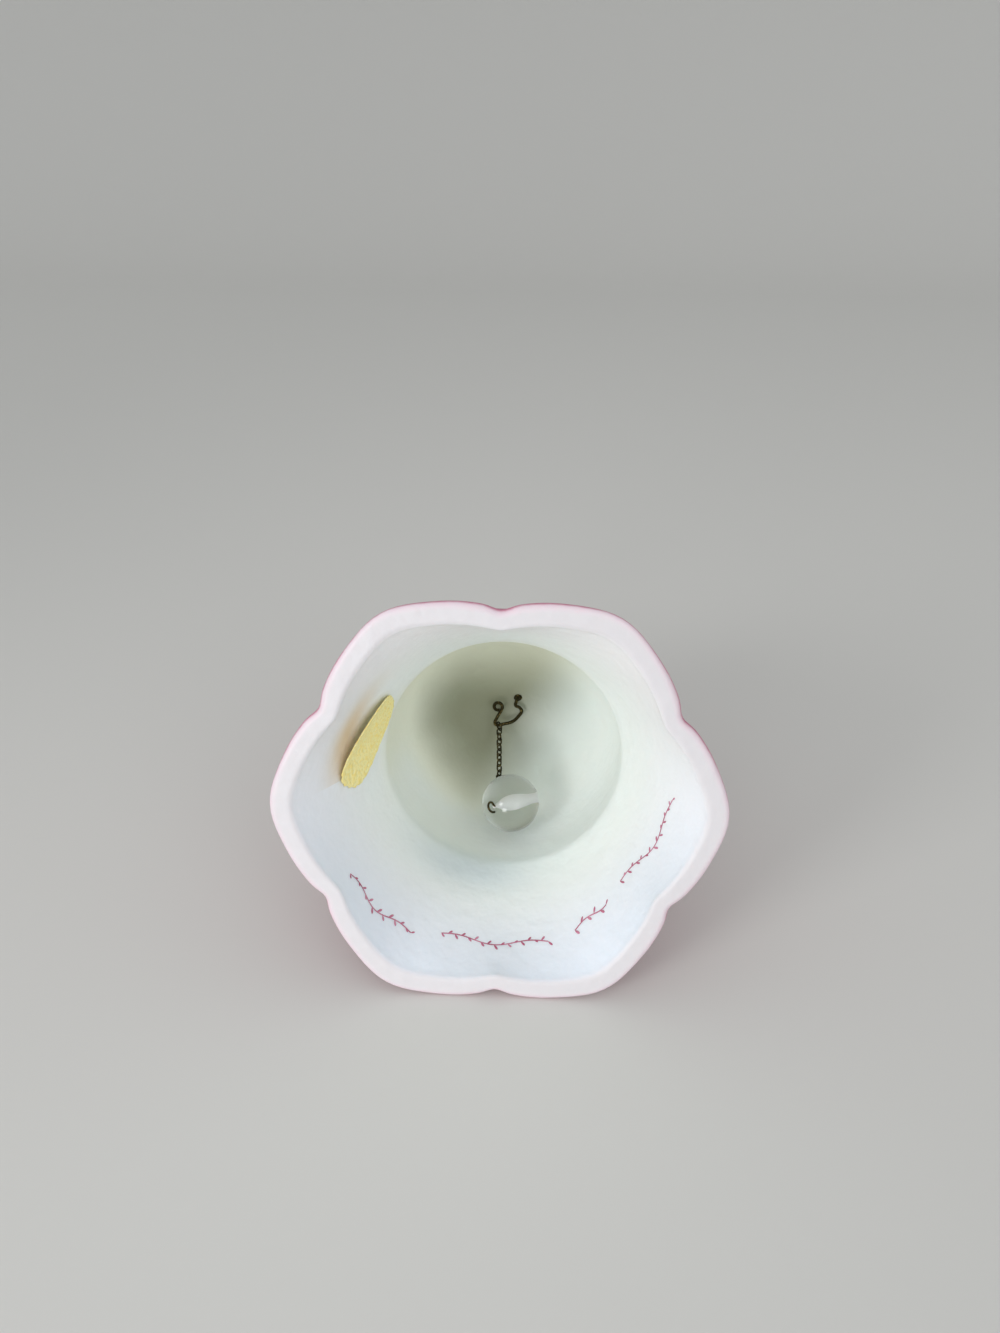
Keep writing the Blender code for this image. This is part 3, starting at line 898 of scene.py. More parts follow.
@dataclass(frozen=True)
class CasedGlass:
    """Satin cased glass: opal inside and over the lip, rose outside, with painted light and
    shade laid into the colour of the opal lining.
    """

    # The lining's pale opal tone by depth, slightly greenish in the body; the last stop darkens
    # it towards the crown as painted shade.
    stops: tuple[tuple[float, Colour], ...] = (
        (0.0, srgb(242, 240, 241)),
        (0.36, srgb(240, 244, 241)),
        (0.52, srgb(242, 243, 228)),
        (0.76, srgb(242, 243, 228)),
        # painted shade: the lining dark towards the crown
        (0.96, srgb(146, 148, 124)),
    )
    # Painted light and shade laid over the lining, each towards a side or round a place on the
    # wall.
    tints: tuple[PaintedSideLight | PaintedShadingPatch, ...] = (
        # painted light: the upper body paler and warmer
        PaintedSideLight(srgb(250, 250, 230), 0.5, (0.0, -1.0), (1.0, 21.0), fade_in=(50.0, 64.0)),
        # painted light: cool daylight on the lower skirt
        PaintedSideLight(srgb(233, 239, 249), 1.0, (0.0, 1.0), (-30.0, 30.0), fade_out=(0.0, 34.0)),
        # painted light: the right and lower body lit pale mint
        PaintedSideLight(PAINTED_LIGHT_MINT, 0.85, (0.9, 0.45), (-1.5, 24.0), fade_in=(26.0, 42.0)),
        # painted light: the bottom of the body past the waist lit pale mint
        PaintedSideLight(PAINTED_LIGHT_MINT, 0.75, (0.0, 1.0), (-2.0, 18.0), (34.0, 42.0), (60.0, 72.0)),
        # painted shade: blue-grey shade at the bottom of the waist
        PaintedShadingPatch(srgb(200, 212, 218), 0.75, 105.0, 35.0, 32.0, 7.0),
        # painted reflection: tan light of the gold label on the wall beside it
        PaintedShadingPatch(srgb(224, 200, 164), 0.95, -162.0, 16.2, 18.0, 5.0),
    )
    lip: Colour = srgb(220, 217, 220)
    blush: Colour = srgb(236, 208, 220)
    casing: Colour = srgb(206, 134, 156)
    casing_deep: Colour = srgb(188, 112, 138)
    drift: float = 0.12
    drift_scale: float = 0.03
    cloud_scale: float = 0.06
    seep_scale: float = 0.35
    grain_scale: float = 9.0
    ripple_scale: float = 0.22
    lip_start: Pair = (0.0, 0.2)
    blush_start: Pair = (0.5, 0.85)
    casing_start: Pair = (0.86, 1.02)
    blush_share: Pair = (0.35, 0.6)
    edge_wander: float = 0.1
    ior: float = 1.5
    scatter: float = 0.25
    scatter_colour: Colour = (1.0, 0.85, 0.8)
    scatter_depth: float = 0.003
    roughness: float = 0.34
    grain_dullness: float = 0.14
    cloud_dullness: float = 0.06
    grain_height: float = 0.04
    relief: float = 0.00035

    def make(self, form: BellForm) -> Material:
        """Builds the material for glass that keeps its bell place and wall share.

        Args:
            form: The form of the bell, for its depths.

        Returns:
            The finished material.
        """
        tree = Surface("satin_cased_glass")
        vector = tree.attribute("bell_place", "Vector")
        wall = Term(tree, tree.attribute("wall", "Fac"))
        cloud = tree.noise(vector, self.cloud_scale, 3.0)
        seeping = tree.noise(vector, self.seep_scale)
        grain = tree.noise(vector, self.grain_scale, 3.0)
        least, more = self.blush_share
        blushed = rising(wall, *self.blush_start) * (least + more * seeping)
        lip = tree.mixed(blushed, self.lip, self.blush)
        lining = self._lining(tree, vector, form)
        inner = tree.mixed(rising(wall, *self.lip_start), lining, lip)
        outside = tree.mixed(cloud, self.casing, self.casing_deep)
        edge = rising(wall + self.edge_wander * seeping, *self.casing_start)
        inputs = {
            "Base Color": tree.mixed(edge, inner, outside),
            "Roughness": self.roughness
            + self.grain_dullness * grain
            + self.cloud_dullness * cloud,
            "IOR": self.ior,
            "Subsurface Weight": self.scatter,
            "Subsurface Radius": self.scatter_colour,
            "Subsurface Scale": self.scatter_depth,
        }
        height = tree.noise(vector, self.ripple_scale) + self.grain_height * grain
        return tree.dressed(inputs, height, self.relief)

    def _lining(self, tree: Surface, vector: Socket, form: BellForm) -> Socket:
        """The opal lining, from the pale skirt to the greenish body, darkened towards the crown
        as painted shade, with painted light and shade laid over it by side and place.

        Args:
            tree: The material's tree.
            vector: The bell place.
            form: The form of the bell.

        Returns:
            The colour.
        """
        across, down, deep = tree.split(vector)
        drift = self.drift * (tree.noise(vector, self.drift_scale) - 0.5)
        sockets = {0: deep / form.crown_depth + drift}
        lining = tree.out("ShaderNodeValToRGB", {"stops": self.stops}, sockets)
        # Mixes the painted light and shade over the lining's tone.
        for shading in self.tints:
            lining = tree.mixed(shading.spread(across, down, deep), lining, shading.colour)
        return lining


@dataclass(frozen=True)
class OldBrass:
    """Brass wire gone brown, rubbed brighter in places."""

    dark: Colour = srgb(58, 53, 34)
    rubbed: Colour = srgb(128, 112, 68)
    patch_scale: float = 900.0
    rubbed_start: Pair = (0.52, 0.72)
    roughness: float = 0.42
    dullness: float = 0.18
    relief: float = 0.00002

    def make(self) -> Material:
        """Builds the material.

        Returns:
            The finished material.
        """
        tree = Surface("old_brass_wire")
        patches = tree.noise(tree.place(), self.patch_scale, 3.0)
        rubbed = rising(patches, *self.rubbed_start)
        inputs = {
            "Base Color": tree.mixed(rubbed, self.dark, self.rubbed),
            "Roughness": self.roughness + self.dullness * (1.0 - rubbed),
            "Metallic": 1.0,
        }
        return tree.dressed(inputs, patches, self.relief)


@dataclass(frozen=True)
class ClearBead:
    """Clear bead with a few faint scuffs."""

    colour: Colour = (0.77, 0.78, 0.76)
    ior: float = 1.49
    roughness: float = 0.02
    scuff_dullness: float = 0.1
    scuff_scale: float = 420.0
    scuff_start: Pair = (0.62, 0.82)
    wave_scale: float = 60.0
    relief: float = 0.00008

    def make(self) -> Material:
        """Builds the material.

        Returns:
            The finished material.
        """
        tree = Surface("clear_bead")
        place = tree.place()
        scuffs = rising(tree.noise(place, self.scuff_scale, 3.0), *self.scuff_start)
        inputs = {
            "Base Color": self.colour,
            "Roughness": self.roughness + self.scuff_dullness * scuffs,
            "Transmission Weight": 1.0,
            "IOR": self.ior,
        }
        return tree.dressed(inputs, tree.noise(place, self.wave_scale), self.relief)


@dataclass(frozen=True)
class FrostedBore:
    """The ground wall of the bead's bore, with a faint glow of painted light standing in for the
    light that reaches it through the bead.
    """

    colour: Colour = (0.97, 0.98, 0.97)
    glow: float = 0.14
    ior: float = 1.49
    roughness: float = 0.6
    dullness: float = 0.25
    grain_scale: float = 2600.0
    relief: float = 0.00004

    def make(self) -> Material:
        """Builds the material.

        Returns:
            The finished material.
        """
        tree = Surface("frosted_bore")
        grain = tree.noise(tree.place(), self.grain_scale, 3.0)
        inputs = {
            "Base Color": self.colour,
            "Roughness": self.roughness + self.dullness * grain,
            # painted light: the bore glows faintly
            "Emission Color": self.colour,
            "Emission Strength": self.glow,
            "IOR": self.ior,
        }
        return tree.dressed(inputs, grain, self.relief)


@dataclass(frozen=True)
class EmbossedFoil:
    """Gold foil with a finely pressed ground."""

    gold: Colour = srgb(255, 247, 186)
    shade: Colour = srgb(255, 232, 138)
    cell_scale: float = 1.05
    worn_scale: float = 0.9
    pressed_share: float = 0.95
    worn_share: float = 0.9
    worn_middle: float = 0.45
    worn_dullness: float = 0.2
    worn_height: float = 0.6
    roughness: float = 0.42
    metallic: float = 0.05
    relief: float = 0.0003

    def make(self) -> Material:
        """Builds the material for foil that keeps its flat place.

        Returns:
            The finished material.
        """
        tree = Surface("embossed_foil")
        vector = tree.attribute("flat_place", "Vector")
        sockets = {"Vector": vector, "Scale": self.cell_scale}
        pressed = Term(tree, tree.out("ShaderNodeTexVoronoi", sockets=sockets))
        worn = tree.noise(vector, self.worn_scale, 3.0)
        share = self.pressed_share * pressed + self.worn_share * (worn - self.worn_middle)
        inputs = {
            "Base Color": tree.mixed(clamped(share), self.gold, self.shade),
            "Roughness": self.roughness + self.worn_dullness * worn,
            "Metallic": self.metallic,
        }
        return tree.dressed(inputs, pressed + self.worn_height * worn, self.relief)


@dataclass(frozen=True)
class RoseEnamel:
    """Thin rose enamel laid on with a fine brush."""

    full: Colour = srgb(176, 78, 112)
    thin: Colour = srgb(208, 136, 160)
    load_scale: float = 260.0
    load_start: Pair = (0.3, 0.7)
    roughness: float = 0.3
    dullness: float = 0.2
    relief: float = 0.00003

    def make(self) -> Material:
        """Builds the material.

        Returns:
            The finished material.
        """
        tree = Surface("rose_enamel")
        load = rising(tree.noise(tree.place(), self.load_scale, 3.0), *self.load_start)
        inputs = {
            "Base Color": tree.mixed(load, self.full, self.thin),
            "Roughness": self.roughness + self.dullness * load,
        }
        return tree.dressed(inputs, load, self.relief)


@dataclass(frozen=True)
class PaleFloor:
    """Plain pale studio floor."""

    colour: Colour = srgb(214, 213, 209)
    cloud_scale: float = 14.0
    roughness: float = 0.6
    dullness: float = 0.1

    def make(self) -> Material:
        """Builds the material.

        Returns:
            The finished material.
        """
        tree = Surface("pale_floor")
        tree.shader.inputs["Base Color"].default_value = (*self.colour, 1.0)
        cloud = tree.noise(tree.place(), self.cloud_scale)
        rough = self.roughness + self.dullness * cloud
        tree.feed(tree.shader.inputs["Roughness"], rough)
        return tree.material


# Pieces


@dataclass(frozen=True)
class GlassBell:
    """The cased glass: one closed wall from the crown over the lip to the knob."""

    form: BellForm
    columns: int = 216
    inside_rows: int = 84
    lip_rows: int = 22
    outside_rows: int = 200
    crowding: float = 0.3
    inner_end: float = 0.25
    flat_end: float = 0.6
    merge: float = 0.02

    def _wall(
        self, tree: ShapeTree, form: BellForm, grid: Socket, around: Term, profile: Sequence[Any]
    ) -> Socket:
        """Bends a grid into a ring of wall, its columns crowded at the notches.

        Args:
            tree: The bell's tree.
            form: The bell's form, as inputs of the tree.
            grid: The grid.
            around: Its share of the way round.
            profile: The mean radius, the depth and the share of the way through the wall.

        Returns:
            The ring of wall, which keeps that last share.
        """
        radius, depth, wall = profile
        even = around * TURN
        angle = even - self.crowding / form.petals * Maths.SINE(form.petals * even - math.pi)
        kept = tree.stored(grid, "wall", wall, "FLOAT")
        wide = radius * form.petal_share(angle, depth, wall)
        return tree.placed(kept, *on_circle(wide, angle), depth)

    def _inside(self, tree: ShapeTree, form: BellForm) -> Socket:
        """The inside, from the crown to the lip.

        Args:
            tree: The bell's tree.
            form: The bell's form, as inputs of the tree.

        Returns:
            The geometry.
        """
        grid, around, along = tree.grid(self.columns + 1, self.inside_rows)
        dome = clamped(along * 2.0)
        skirt = clamped(along * 2.0 - 1.0)
        rise = Maths.COSINE(dome * QUARTER)
        depth = form.bulge_depth + (form.crown_depth - form.bulge_depth) * rise
        depth = depth - (form.bulge_depth - form.inner_edge_round) * skirt
        return self._wall(tree, form, grid, around, (form.inner_radius(depth), depth, 0.0))

    def _lip(self, tree: ShapeTree, form: BellForm) -> Socket:
        """The flat lip between its two rounded edges.

        Args:
            tree: The bell's tree.
            form: The bell's form, as inputs of the tree.

        Returns:
            The geometry.
        """
        grid, around, along = tree.grid(self.columns + 1, self.lip_rows)
        inner = clamped(along / self.inner_end) * QUARTER
        flat = clamped((along - self.inner_end) / (self.flat_end - self.inner_end))
        outer = clamped((along - self.flat_end) / (1.0 - self.flat_end)) * QUARTER
        start = form.inner_radius(form.inner_edge_round)
        width = form.mouth_radius - form.outer_edge_round - start - form.inner_edge_round
        radius = start + form.inner_edge_round * (1.0 - Maths.COSINE(inner))
        radius = radius + width * flat + form.outer_edge_round * Maths.SINE(outer)
        depth = form.inner_edge_round * (1.0 - Maths.SINE(inner))
        depth = depth + form.outer_edge_round * (1.0 - Maths.COSINE(outer))
        return self._wall(tree, form, grid, around, (radius, depth, along))

    def _outside(self, tree: ShapeTree, form: BellForm) -> Socket:
        """The outside, from the lip over the crown and the handle to its end.

        Args:
            tree: The bell's tree.
            form: The bell's form, as inputs of the tree.

        Returns:
            The geometry.
        """
        grid, around, along = tree.grid(self.columns + 1, self.outside_rows)
        parts = [clamped(along * 5.0 - float(part)) for part in range(5)]
        neck = form.crown_depth + form.crown_thickness
        collar_end = form.collar_depth + form.collar_half_length
        depth = form.outer_edge_round + (form.bulge_depth - form.outer_edge_round) * parts[0]
        depth = depth + (neck - form.bulge_depth) * Maths.SINE(parts[1] * QUARTER)
        depth = depth + (collar_end - neck) * parts[2]
        depth = depth + (form.knob_centre() - collar_end) * parts[3]
        depth = depth + form.knob_half_length * Maths.SINE(parts[4] * QUARTER)
        radius = form.outer_radius(depth)
        near = 1.0 - clamped((depth - form.outer_edge_round) / form.outer_edge_round)
        radius = radius + (form.mouth_radius - radius) * near
        return self._wall(tree, form, grid, around, (radius, depth, 1.0))

    def build(self, place: BellFrame) -> None:
        """Builds the piece.

        Args:
            place: The bell's frame.
        """
        tree = ShapeTree("glass_wall")
        form = tree.sized(self.form)
        parts = [self._inside(tree, form), self._lip(tree, form), self._outside(tree, form)]
        whole = tree.merged(parts, self.merge)
        kept = tree.stored(whole, "bell_place", tree.where(), "FLOAT_VECTOR")
        tree.close(kept, CasedGlass().make(self.form))
        mesh = tree.mesh("glass_wall")
        add_piece("glass_wall", mesh, place.scaled, "bell", ["glass_bell"])


@dataclass(frozen=True)
class WireHook:
    """The hand-bent hook in the crown: leg, bow, rise and free curl."""

    form: BellForm
    wire: float = 1.12
    set_depth: float = 3.7
    root_across: float = 3.2
    root_up: float = 2.2
    low_across: float = -3.5
    low_up: float = -5.7
    reach: float = 5.6
    leg: tuple[Place, ...] = (
        (0.0, 0.0, 0.0),
        (0.0, 0.0, 0.7),
        (-0.5, -1.0, 1.5),
        (-0.7, -2.1, 1.9),
        (0.6, -2.7, 2.3),
        (1.3, -3.7, 2.8),
        (0.5, -5.1, 3.5),
    )
    bow: tuple[Pair, ...] = ((0.62, 0.30), (0.86, 0.66), (0.98, 1.0))
    rise: tuple[Place, ...] = ((-0.5, 0.6, 0.1), (0.1, 2.3, 0.7))
    curl_centre: Place = (0.4, 5.5, 2.0)
    curl_radius: float = 1.35
    curl_pitch: float = 0.12
    curl_knots: int = 9
    curl_start: float = -30.0
    curl_step: float = 40.0
    dab_radius: float = 1.35
    dab_least: float = 0.82
    dab_rough: float = 0.36
    dab_wave: float = 1.3
    dab_segments: int = 28
    dab_rings: int = 16
    dab_flatness: Pair = (0.85, 0.5)
    dab_out: float = 0.25

    def _root(self) -> Vector:
        """Where the leg leaves the glass.

        Returns:
            The place, as across, up and deep.
        """
        form = self.form
        widest = form.waist_radius - form.waist_wall + form.bulge_out
        share = math.hypot(self.root_across, self.root_up) / widest
        deep = (form.crown_depth - form.bulge_depth) * math.sqrt(1.0 - share * share)
        return Vector((self.root_across, self.root_up, form.bulge_depth + deep))

    def _knots(self) -> list[Vector]:
        """The bends of the wire from its set end to its curl.

        Returns:
            The knots, in the bell's frame.
        """
        root = self._root()
        low = Vector((self.low_across, self.low_up, self.form.crown_depth - self.reach))
        spots = [root + Vector((0.0, 0.0, self.set_depth * k / 2.0)) for k in (2, 1)]
        spots += [root + Vector((across, up, -out)) for across, up, out in self.leg]
        foot = spots[-1]
        way = low - foot
        for drop, along in self.bow:
            spots.append(foot + Vector((way.x * along, way.y * drop, way.z * drop)))
        spots += [low + Vector(step) for step in self.rise]
        centre = low + Vector(self.curl_centre)
        for knot in range(self.curl_knots):
            angle = math.radians(self.curl_step * knot + self.curl_start)
            arm = on_circle(self.curl_radius, angle)
            spots.append(centre + Vector((*arm, self.curl_pitch * knot)))
        return [spot(*place) for place in spots]

    def _dab(self, tree: ShapeTree) -> Socket:
        """The dark dab that seals the leg in the glass.

        Args:
            tree: The hook's tree.

        Returns:
            The geometry.
        """
        radius = tree.size("dab", self.dab_radius)
        ball = tree.ball(self.dab_segments, self.dab_rings, radius)
        x, y, z = tree.split(tree.where())
        uneven = tree.noise(tree.joined(x, y, z), self.dab_wave)
        rough = self.dab_least + self.dab_rough * uneven
        root = spot(*self._root())
        high, deep = self.dab_flatness
        y, z = y * rough * high + root.y, z * rough * deep + root.z - self.dab_out
        return tree.placed(ball, x * rough + root.x, y, z)

    def build(self, place: BellFrame) -> None:
        """Builds the piece in the bell's frame.

        Args:
            place: The bell's frame.
        """
        tree = ShapeTree("wire_hook")
        wire = tree.wire(tree.source.outputs[0], tree.size("wire", self.wire), True)
        tree.close(tree.gathered([wire, self._dab(tree)]), OldBrass().make())
        mesh = tree.mesh("wire_hook", knot_mesh("hook_knots", self._knots()))
        add_piece("wire_hook", mesh, place.scaled, "bell", ["crown_hook"])


@dataclass(frozen=True)
class WireLoop:
    """A closed loop of chain wire: two half rounds joined by straight sides."""

    wire: float
    bend_radius: float
    half_straight: float
    drop: float
    knots: int = 48
    sides: int = 12

    def mesh(self, name: str, finish: Material) -> bpy.types.Mesh:
        """The loop below its hinge, square to local X.

        Args:
            name: The mesh's name.
            finish: Its material.

        Returns:
            The mesh.
        """
        tree = ShapeTree(name)
        size = tree.sized(self)
        ring = tree.out("GeometryNodeMeshCircle", sockets={"Vertices": self.knots})
        angle = (tree.index() + 0.5) * (TURN / self.knots)
        side = 2.0 * Maths.GREATER_THAN(Maths.SINE(angle), 0.0) - 1.0
        across, along = on_circle(size.bend_radius, angle)
        knots = tree.placed(ring, 0.0, across, along + side * size.half_straight - size.drop)
        tree.close(tree.wire(knots, size.wire, False, self.sides), finish)
        return tree.mesh(name)


@dataclass(frozen=True)
class Chain:
    """The ring on the hook and the links down to the pin."""

    wire: float = 0.45
    drawn_wire: float = 0.52
    gap: float = 0.12
    pitch: float = 2.0
    mean_width: float = 1.6
    ring_radius: float = 1.4
    ring_gap: float = 0.2
    hook_wire: float = 0.9

    def _ring(self) -> WireLoop:
        """The round ring."""
        hang = self.ring_radius - (self.wire + self.hook_wire) / 2.0 - self.ring_gap
        return WireLoop(self.drawn_wire, self.ring_radius, 0.0, hang)

    def _link(self) -> WireLoop:
        """One long link."""
        half, bend = (self.pitch + self.wire + self.gap) / 2.0, self.mean_width / 2.0
        return WireLoop(self.drawn_wire, bend, half - bend, half - self.wire - self.gap)

    def build(self, pivots: Pivots) -> None:
        """Builds the ring and each link on its own body.

        Args:
            pivots: The frame's joints.
        """
        finish = OldBrass().make()
        names = list(pivots.place)
        for joint, after in zip(names, names[1:-1]):
            body = pivots.child[joint]
            loop = self._ring() if body == "ring" else self._link()
            node = "hook_ring" if body == "ring" else f"chain_{body}"
            mesh = loop.mesh(f"loop_{body}", finish)
            matrix = pivots.loop_matrix(joint, after)
            add_piece(f"loop_{body}", mesh, matrix, body, [node])


@dataclass(frozen=True)
class BeadPin:
    """The wire through the bead: a curl at its near end and an eye behind it."""

    bead_radius: float = 8.75
    wire: float = 0.6
    drawn_wire: float = 0.7
    clearance: float = 0.35
    chain_wire: float = 0.45
    chain_gap: float = 0.12
    eye_radius: float = 0.95
    eye_start: float = -85.0
    eye_knots: int = 10
    curl_radius: float = 1.75
    curl_lift: float = 0.1
    curl_start: float = 300.0
    curl_knots: tuple[int, int] = (3, 11)
    curl_closing: float = 3.2
    knot_step: float = 30.0
    near_set: float = 0.5
    far_set: float = 0.8
    corner: float = 0.35
    back_steps: int = 7

    def _curl(self, pivots: Pivots, upright: Vector) -> list[Vector]:
        """The curl that keeps the bead on, from its end to the bore.

        Args:
            pivots: The frame's joints.
            upright: The way up in the bell.

        Returns:
            The knots.
        """
        near = pivots.near
        side = square_to(near, upright)
        up = near.cross(side)
        height = self.bead_radius + self.wire / 2.0 + self.clearance
        level = math.sqrt(height**2 - self.curl_radius**2) + self.curl_lift
        first, end = self.curl_knots
        knots = []
        for knot in range(first, end):
            radius = self.curl_radius * min(1.0, (end - knot) / self.curl_closing)
            angle = math.radians(self.curl_start - self.knot_step * knot)
            across, high = on_circle(radius, angle)
            knots.append(pivots.bead + near * level + side * across + up * high)
        knots.append(pivots.bead + near * (self.bead_radius - self.near_set))
        return knots

    def _back(self, pivots: Pivots, outward: Vector) -> list[Vector]:
        """The wire from the bore's far end round the back of the bead.

        Args:
            pivots: The frame's joints.
            outward: The way from the bead's middle to the eye.

        Returns:
            The knots.
        """
        far = -pivots.near
        radius = self.bead_radius + self.wire / 2.0 + self.clearance
        onward = square_to(far, outward)
        full = math.acos(max(-1.0, min(1.0, far.dot(outward))))
        knots = [
            pivots.bead + far * (self.bead_radius - self.far_set),
            pivots.bead + far * (radius - self.wire / 4.0) + onward * self.corner,
        ]
        for step in range(1, self.back_steps):
            back, out = on_circle(1.0, full * step / self.back_steps)
            knots.append(pivots.bead + (far * back + onward * out) * radius)
        return knots

    def _eye(self, pivots: Pivots, centre: Vector, outward: Vector) -> list[Vector]:
        """The eye that the last link holds, square to its hinge.

        Args:
            pivots: The frame's joints.
            centre: The eye's middle.
            outward: The way from the bead's middle to it.

        Returns:
            The knots.
        """
        hinge = square_to(pivots.along, pivots.axis["pin_swing"])
        upward = square_to(hinge, outward)
        across = square_to(hinge, square_to(upward, square_to(outward, pivots.near)))
        knots = []
        for knot in range(self.eye_knots):
            angle = math.radians(self.knot_step * knot + self.eye_start)
            side, high = on_circle(1.0, angle)
            knots.append(centre + (across * side + upward * high) * self.eye_radius)
        return knots

    def build(self, place: BellFrame, pivots: Pivots) -> None:
        """Builds the pin on its own body.

        Args:
            place: The bell's frame, for which way is up in it.
            pivots: The frame's joints.
        """
        hold = (self.wire + self.chain_wire) / 2.0 + self.chain_gap
        centre = pivots.place["pin_swing"] + pivots.along * (self.eye_radius - hold)
        outward = (centre - pivots.bead).normalized()
        knots = self._curl(pivots, place.up) + [pivots.bead]
        knots += self._back(pivots, outward) + self._eye(pivots, centre, outward)
        tree = ShapeTree("bead_wire")
        wire = tree.wire(tree.source.outputs[0], tree.size("wire", self.drawn_wire), True)
        tree.close(wire, OldBrass().make())
        mesh = tree.mesh("bead_wire", knot_mesh("pin_knots", knots))
        scale = Matrix.Scale(MM, 4)
        add_piece("bead_wire", mesh, scale, "pin", ["bead_pin"])


@dataclass(frozen=True)
class BeadForm:
    """Sizes of the bead, with the bore's radius at its middle and at its ends."""

    radius: float = 8.75
    bore: float = 1.6
    bore_end: float = 0.42
    edge: float = 0.18


@dataclass(frozen=True)
class Bead:
    """The clear bead with its ground bore."""

    form: BeadForm = BeadForm()
    columns: int = 96
    outside_rows: int = 72
    bore_rows: int = 40
    merge: float = 0.004

    @staticmethod
    def _end_height(form: BeadForm) -> Any:
        """Height of the bore's outer edge over the middle."""
        reach = form.bore_end + form.edge
        return Maths.SQRT(form.radius * form.radius - reach * reach)

    @staticmethod
    def _turned(tree: ShapeTree, grid: Socket, around: Term, profile: Sequence[Any]) -> Socket:
        """Bends a grid round the bore's axis.

        Args:
            tree: The bead's tree.
            grid: The grid.
            around: Its share of the way round.
            profile: The radius, the height and 1 for the bore or 0 for the outside.

        Returns:
            The geometry, which keeps that last number.
        """
        radius, height, bored = profile
        kept = tree.stored(grid, "bored", bored, "FLOAT")
        return tree.placed(kept, *on_circle(radius, around * TURN), height)

    def _outside(self, tree: ShapeTree, form: BeadForm) -> Socket:
        """The round outside from one end of the bore to the other.

        Args:
            tree: The bead's tree.
            form: The bead's sizes, as inputs of the tree.

        Returns:
            The geometry.
        """
        grid, around, along = tree.grid(self.columns + 1, self.outside_rows)
        end = Maths.ARCTAN2(form.bore_end + form.edge, self._end_height(form))
        height, radius = on_circle(form.radius, end + (math.pi - 2.0 * end) * along)
        return self._turned(tree, grid, around, (radius, height, 0.0))

    def _bore(self, tree: ShapeTree, form: BeadForm) -> Socket:
        """The bore, a barrel with rounded ends.

        Args:
            tree: The bead's tree.
            form: The bead's sizes, as inputs of the tree.

        Returns:
            The geometry.
        """
        grid, around, along = tree.grid(self.columns + 1, self.bore_rows)
        end = self._end_height(form)
        height = end * Maths.SINE((along - 0.5) * math.pi)
        past = clamped((Maths.ABSOLUTE(height) - end + form.edge) / form.edge)
        flare = form.edge * (1.0 - Maths.SQRT(1.0 - past * past))
        belly = Maths.COSINE(height / end * QUARTER)
        radius = form.bore_end + (form.bore - form.bore_end) * belly * belly + flare
        return self._turned(tree, grid, around, (radius, height, 1.0))

    def build(self, pivots: Pivots) -> None:
        """Builds the bead about its bore's axis.

        Args:
            pivots: The frame's joints.
        """
        tree = ShapeTree("bead_ball")
        form = tree.sized(self.form)
        whole = tree.merged([self._outside(tree, form), self._bore(tree, form)], self.merge)
        kind, name = {"data_type": "FLOAT"}, {"Name": "bored"}
        bored = Term(tree, tree.out("GeometryNodeInputNamedAttribute", kind, name))
        inside = Maths.GREATER_THAN(bored, 0.5)
        tree.close(whole, ClearBead().make(), FrostedBore().make(), inside)
        near = pivots.near
        side = square_to(near, Vector((0.0, 0.0, 1.0)))
        turn = Matrix((side, near.cross(side), near)).transposed().to_4x4()
        matrix = Matrix.Scale(MM, 4) @ Matrix.Translation(pivots.bead) @ turn
        mesh = tree.mesh("bead_ball")
        add_piece("bead_ball", mesh, matrix, "bead", ["clapper_bead"])


@dataclass(frozen=True)
class LabelForm:
    """Sizes and place of the label."""

    length: float = 27.0
    width: float = 15.5
    thickness: float = 0.3
    gap: float = 0.25
    edge_lift: float = 0.9
    middle_lift: float = 1.1
    squareness: float = 2.8
    depth: float = 25.5
    angle: float = -math.radians(166.0)
    turn: float = math.radians(28.0)
    band_relief: float = 0.14
    ground_relief: float = 0.12


@dataclass(frozen=True)
class PressedBand:
    """A band of relief on the label: its share of the way out, breadth, height and beads."""

    out: float
    breadth: float
    height: float
    beads: float


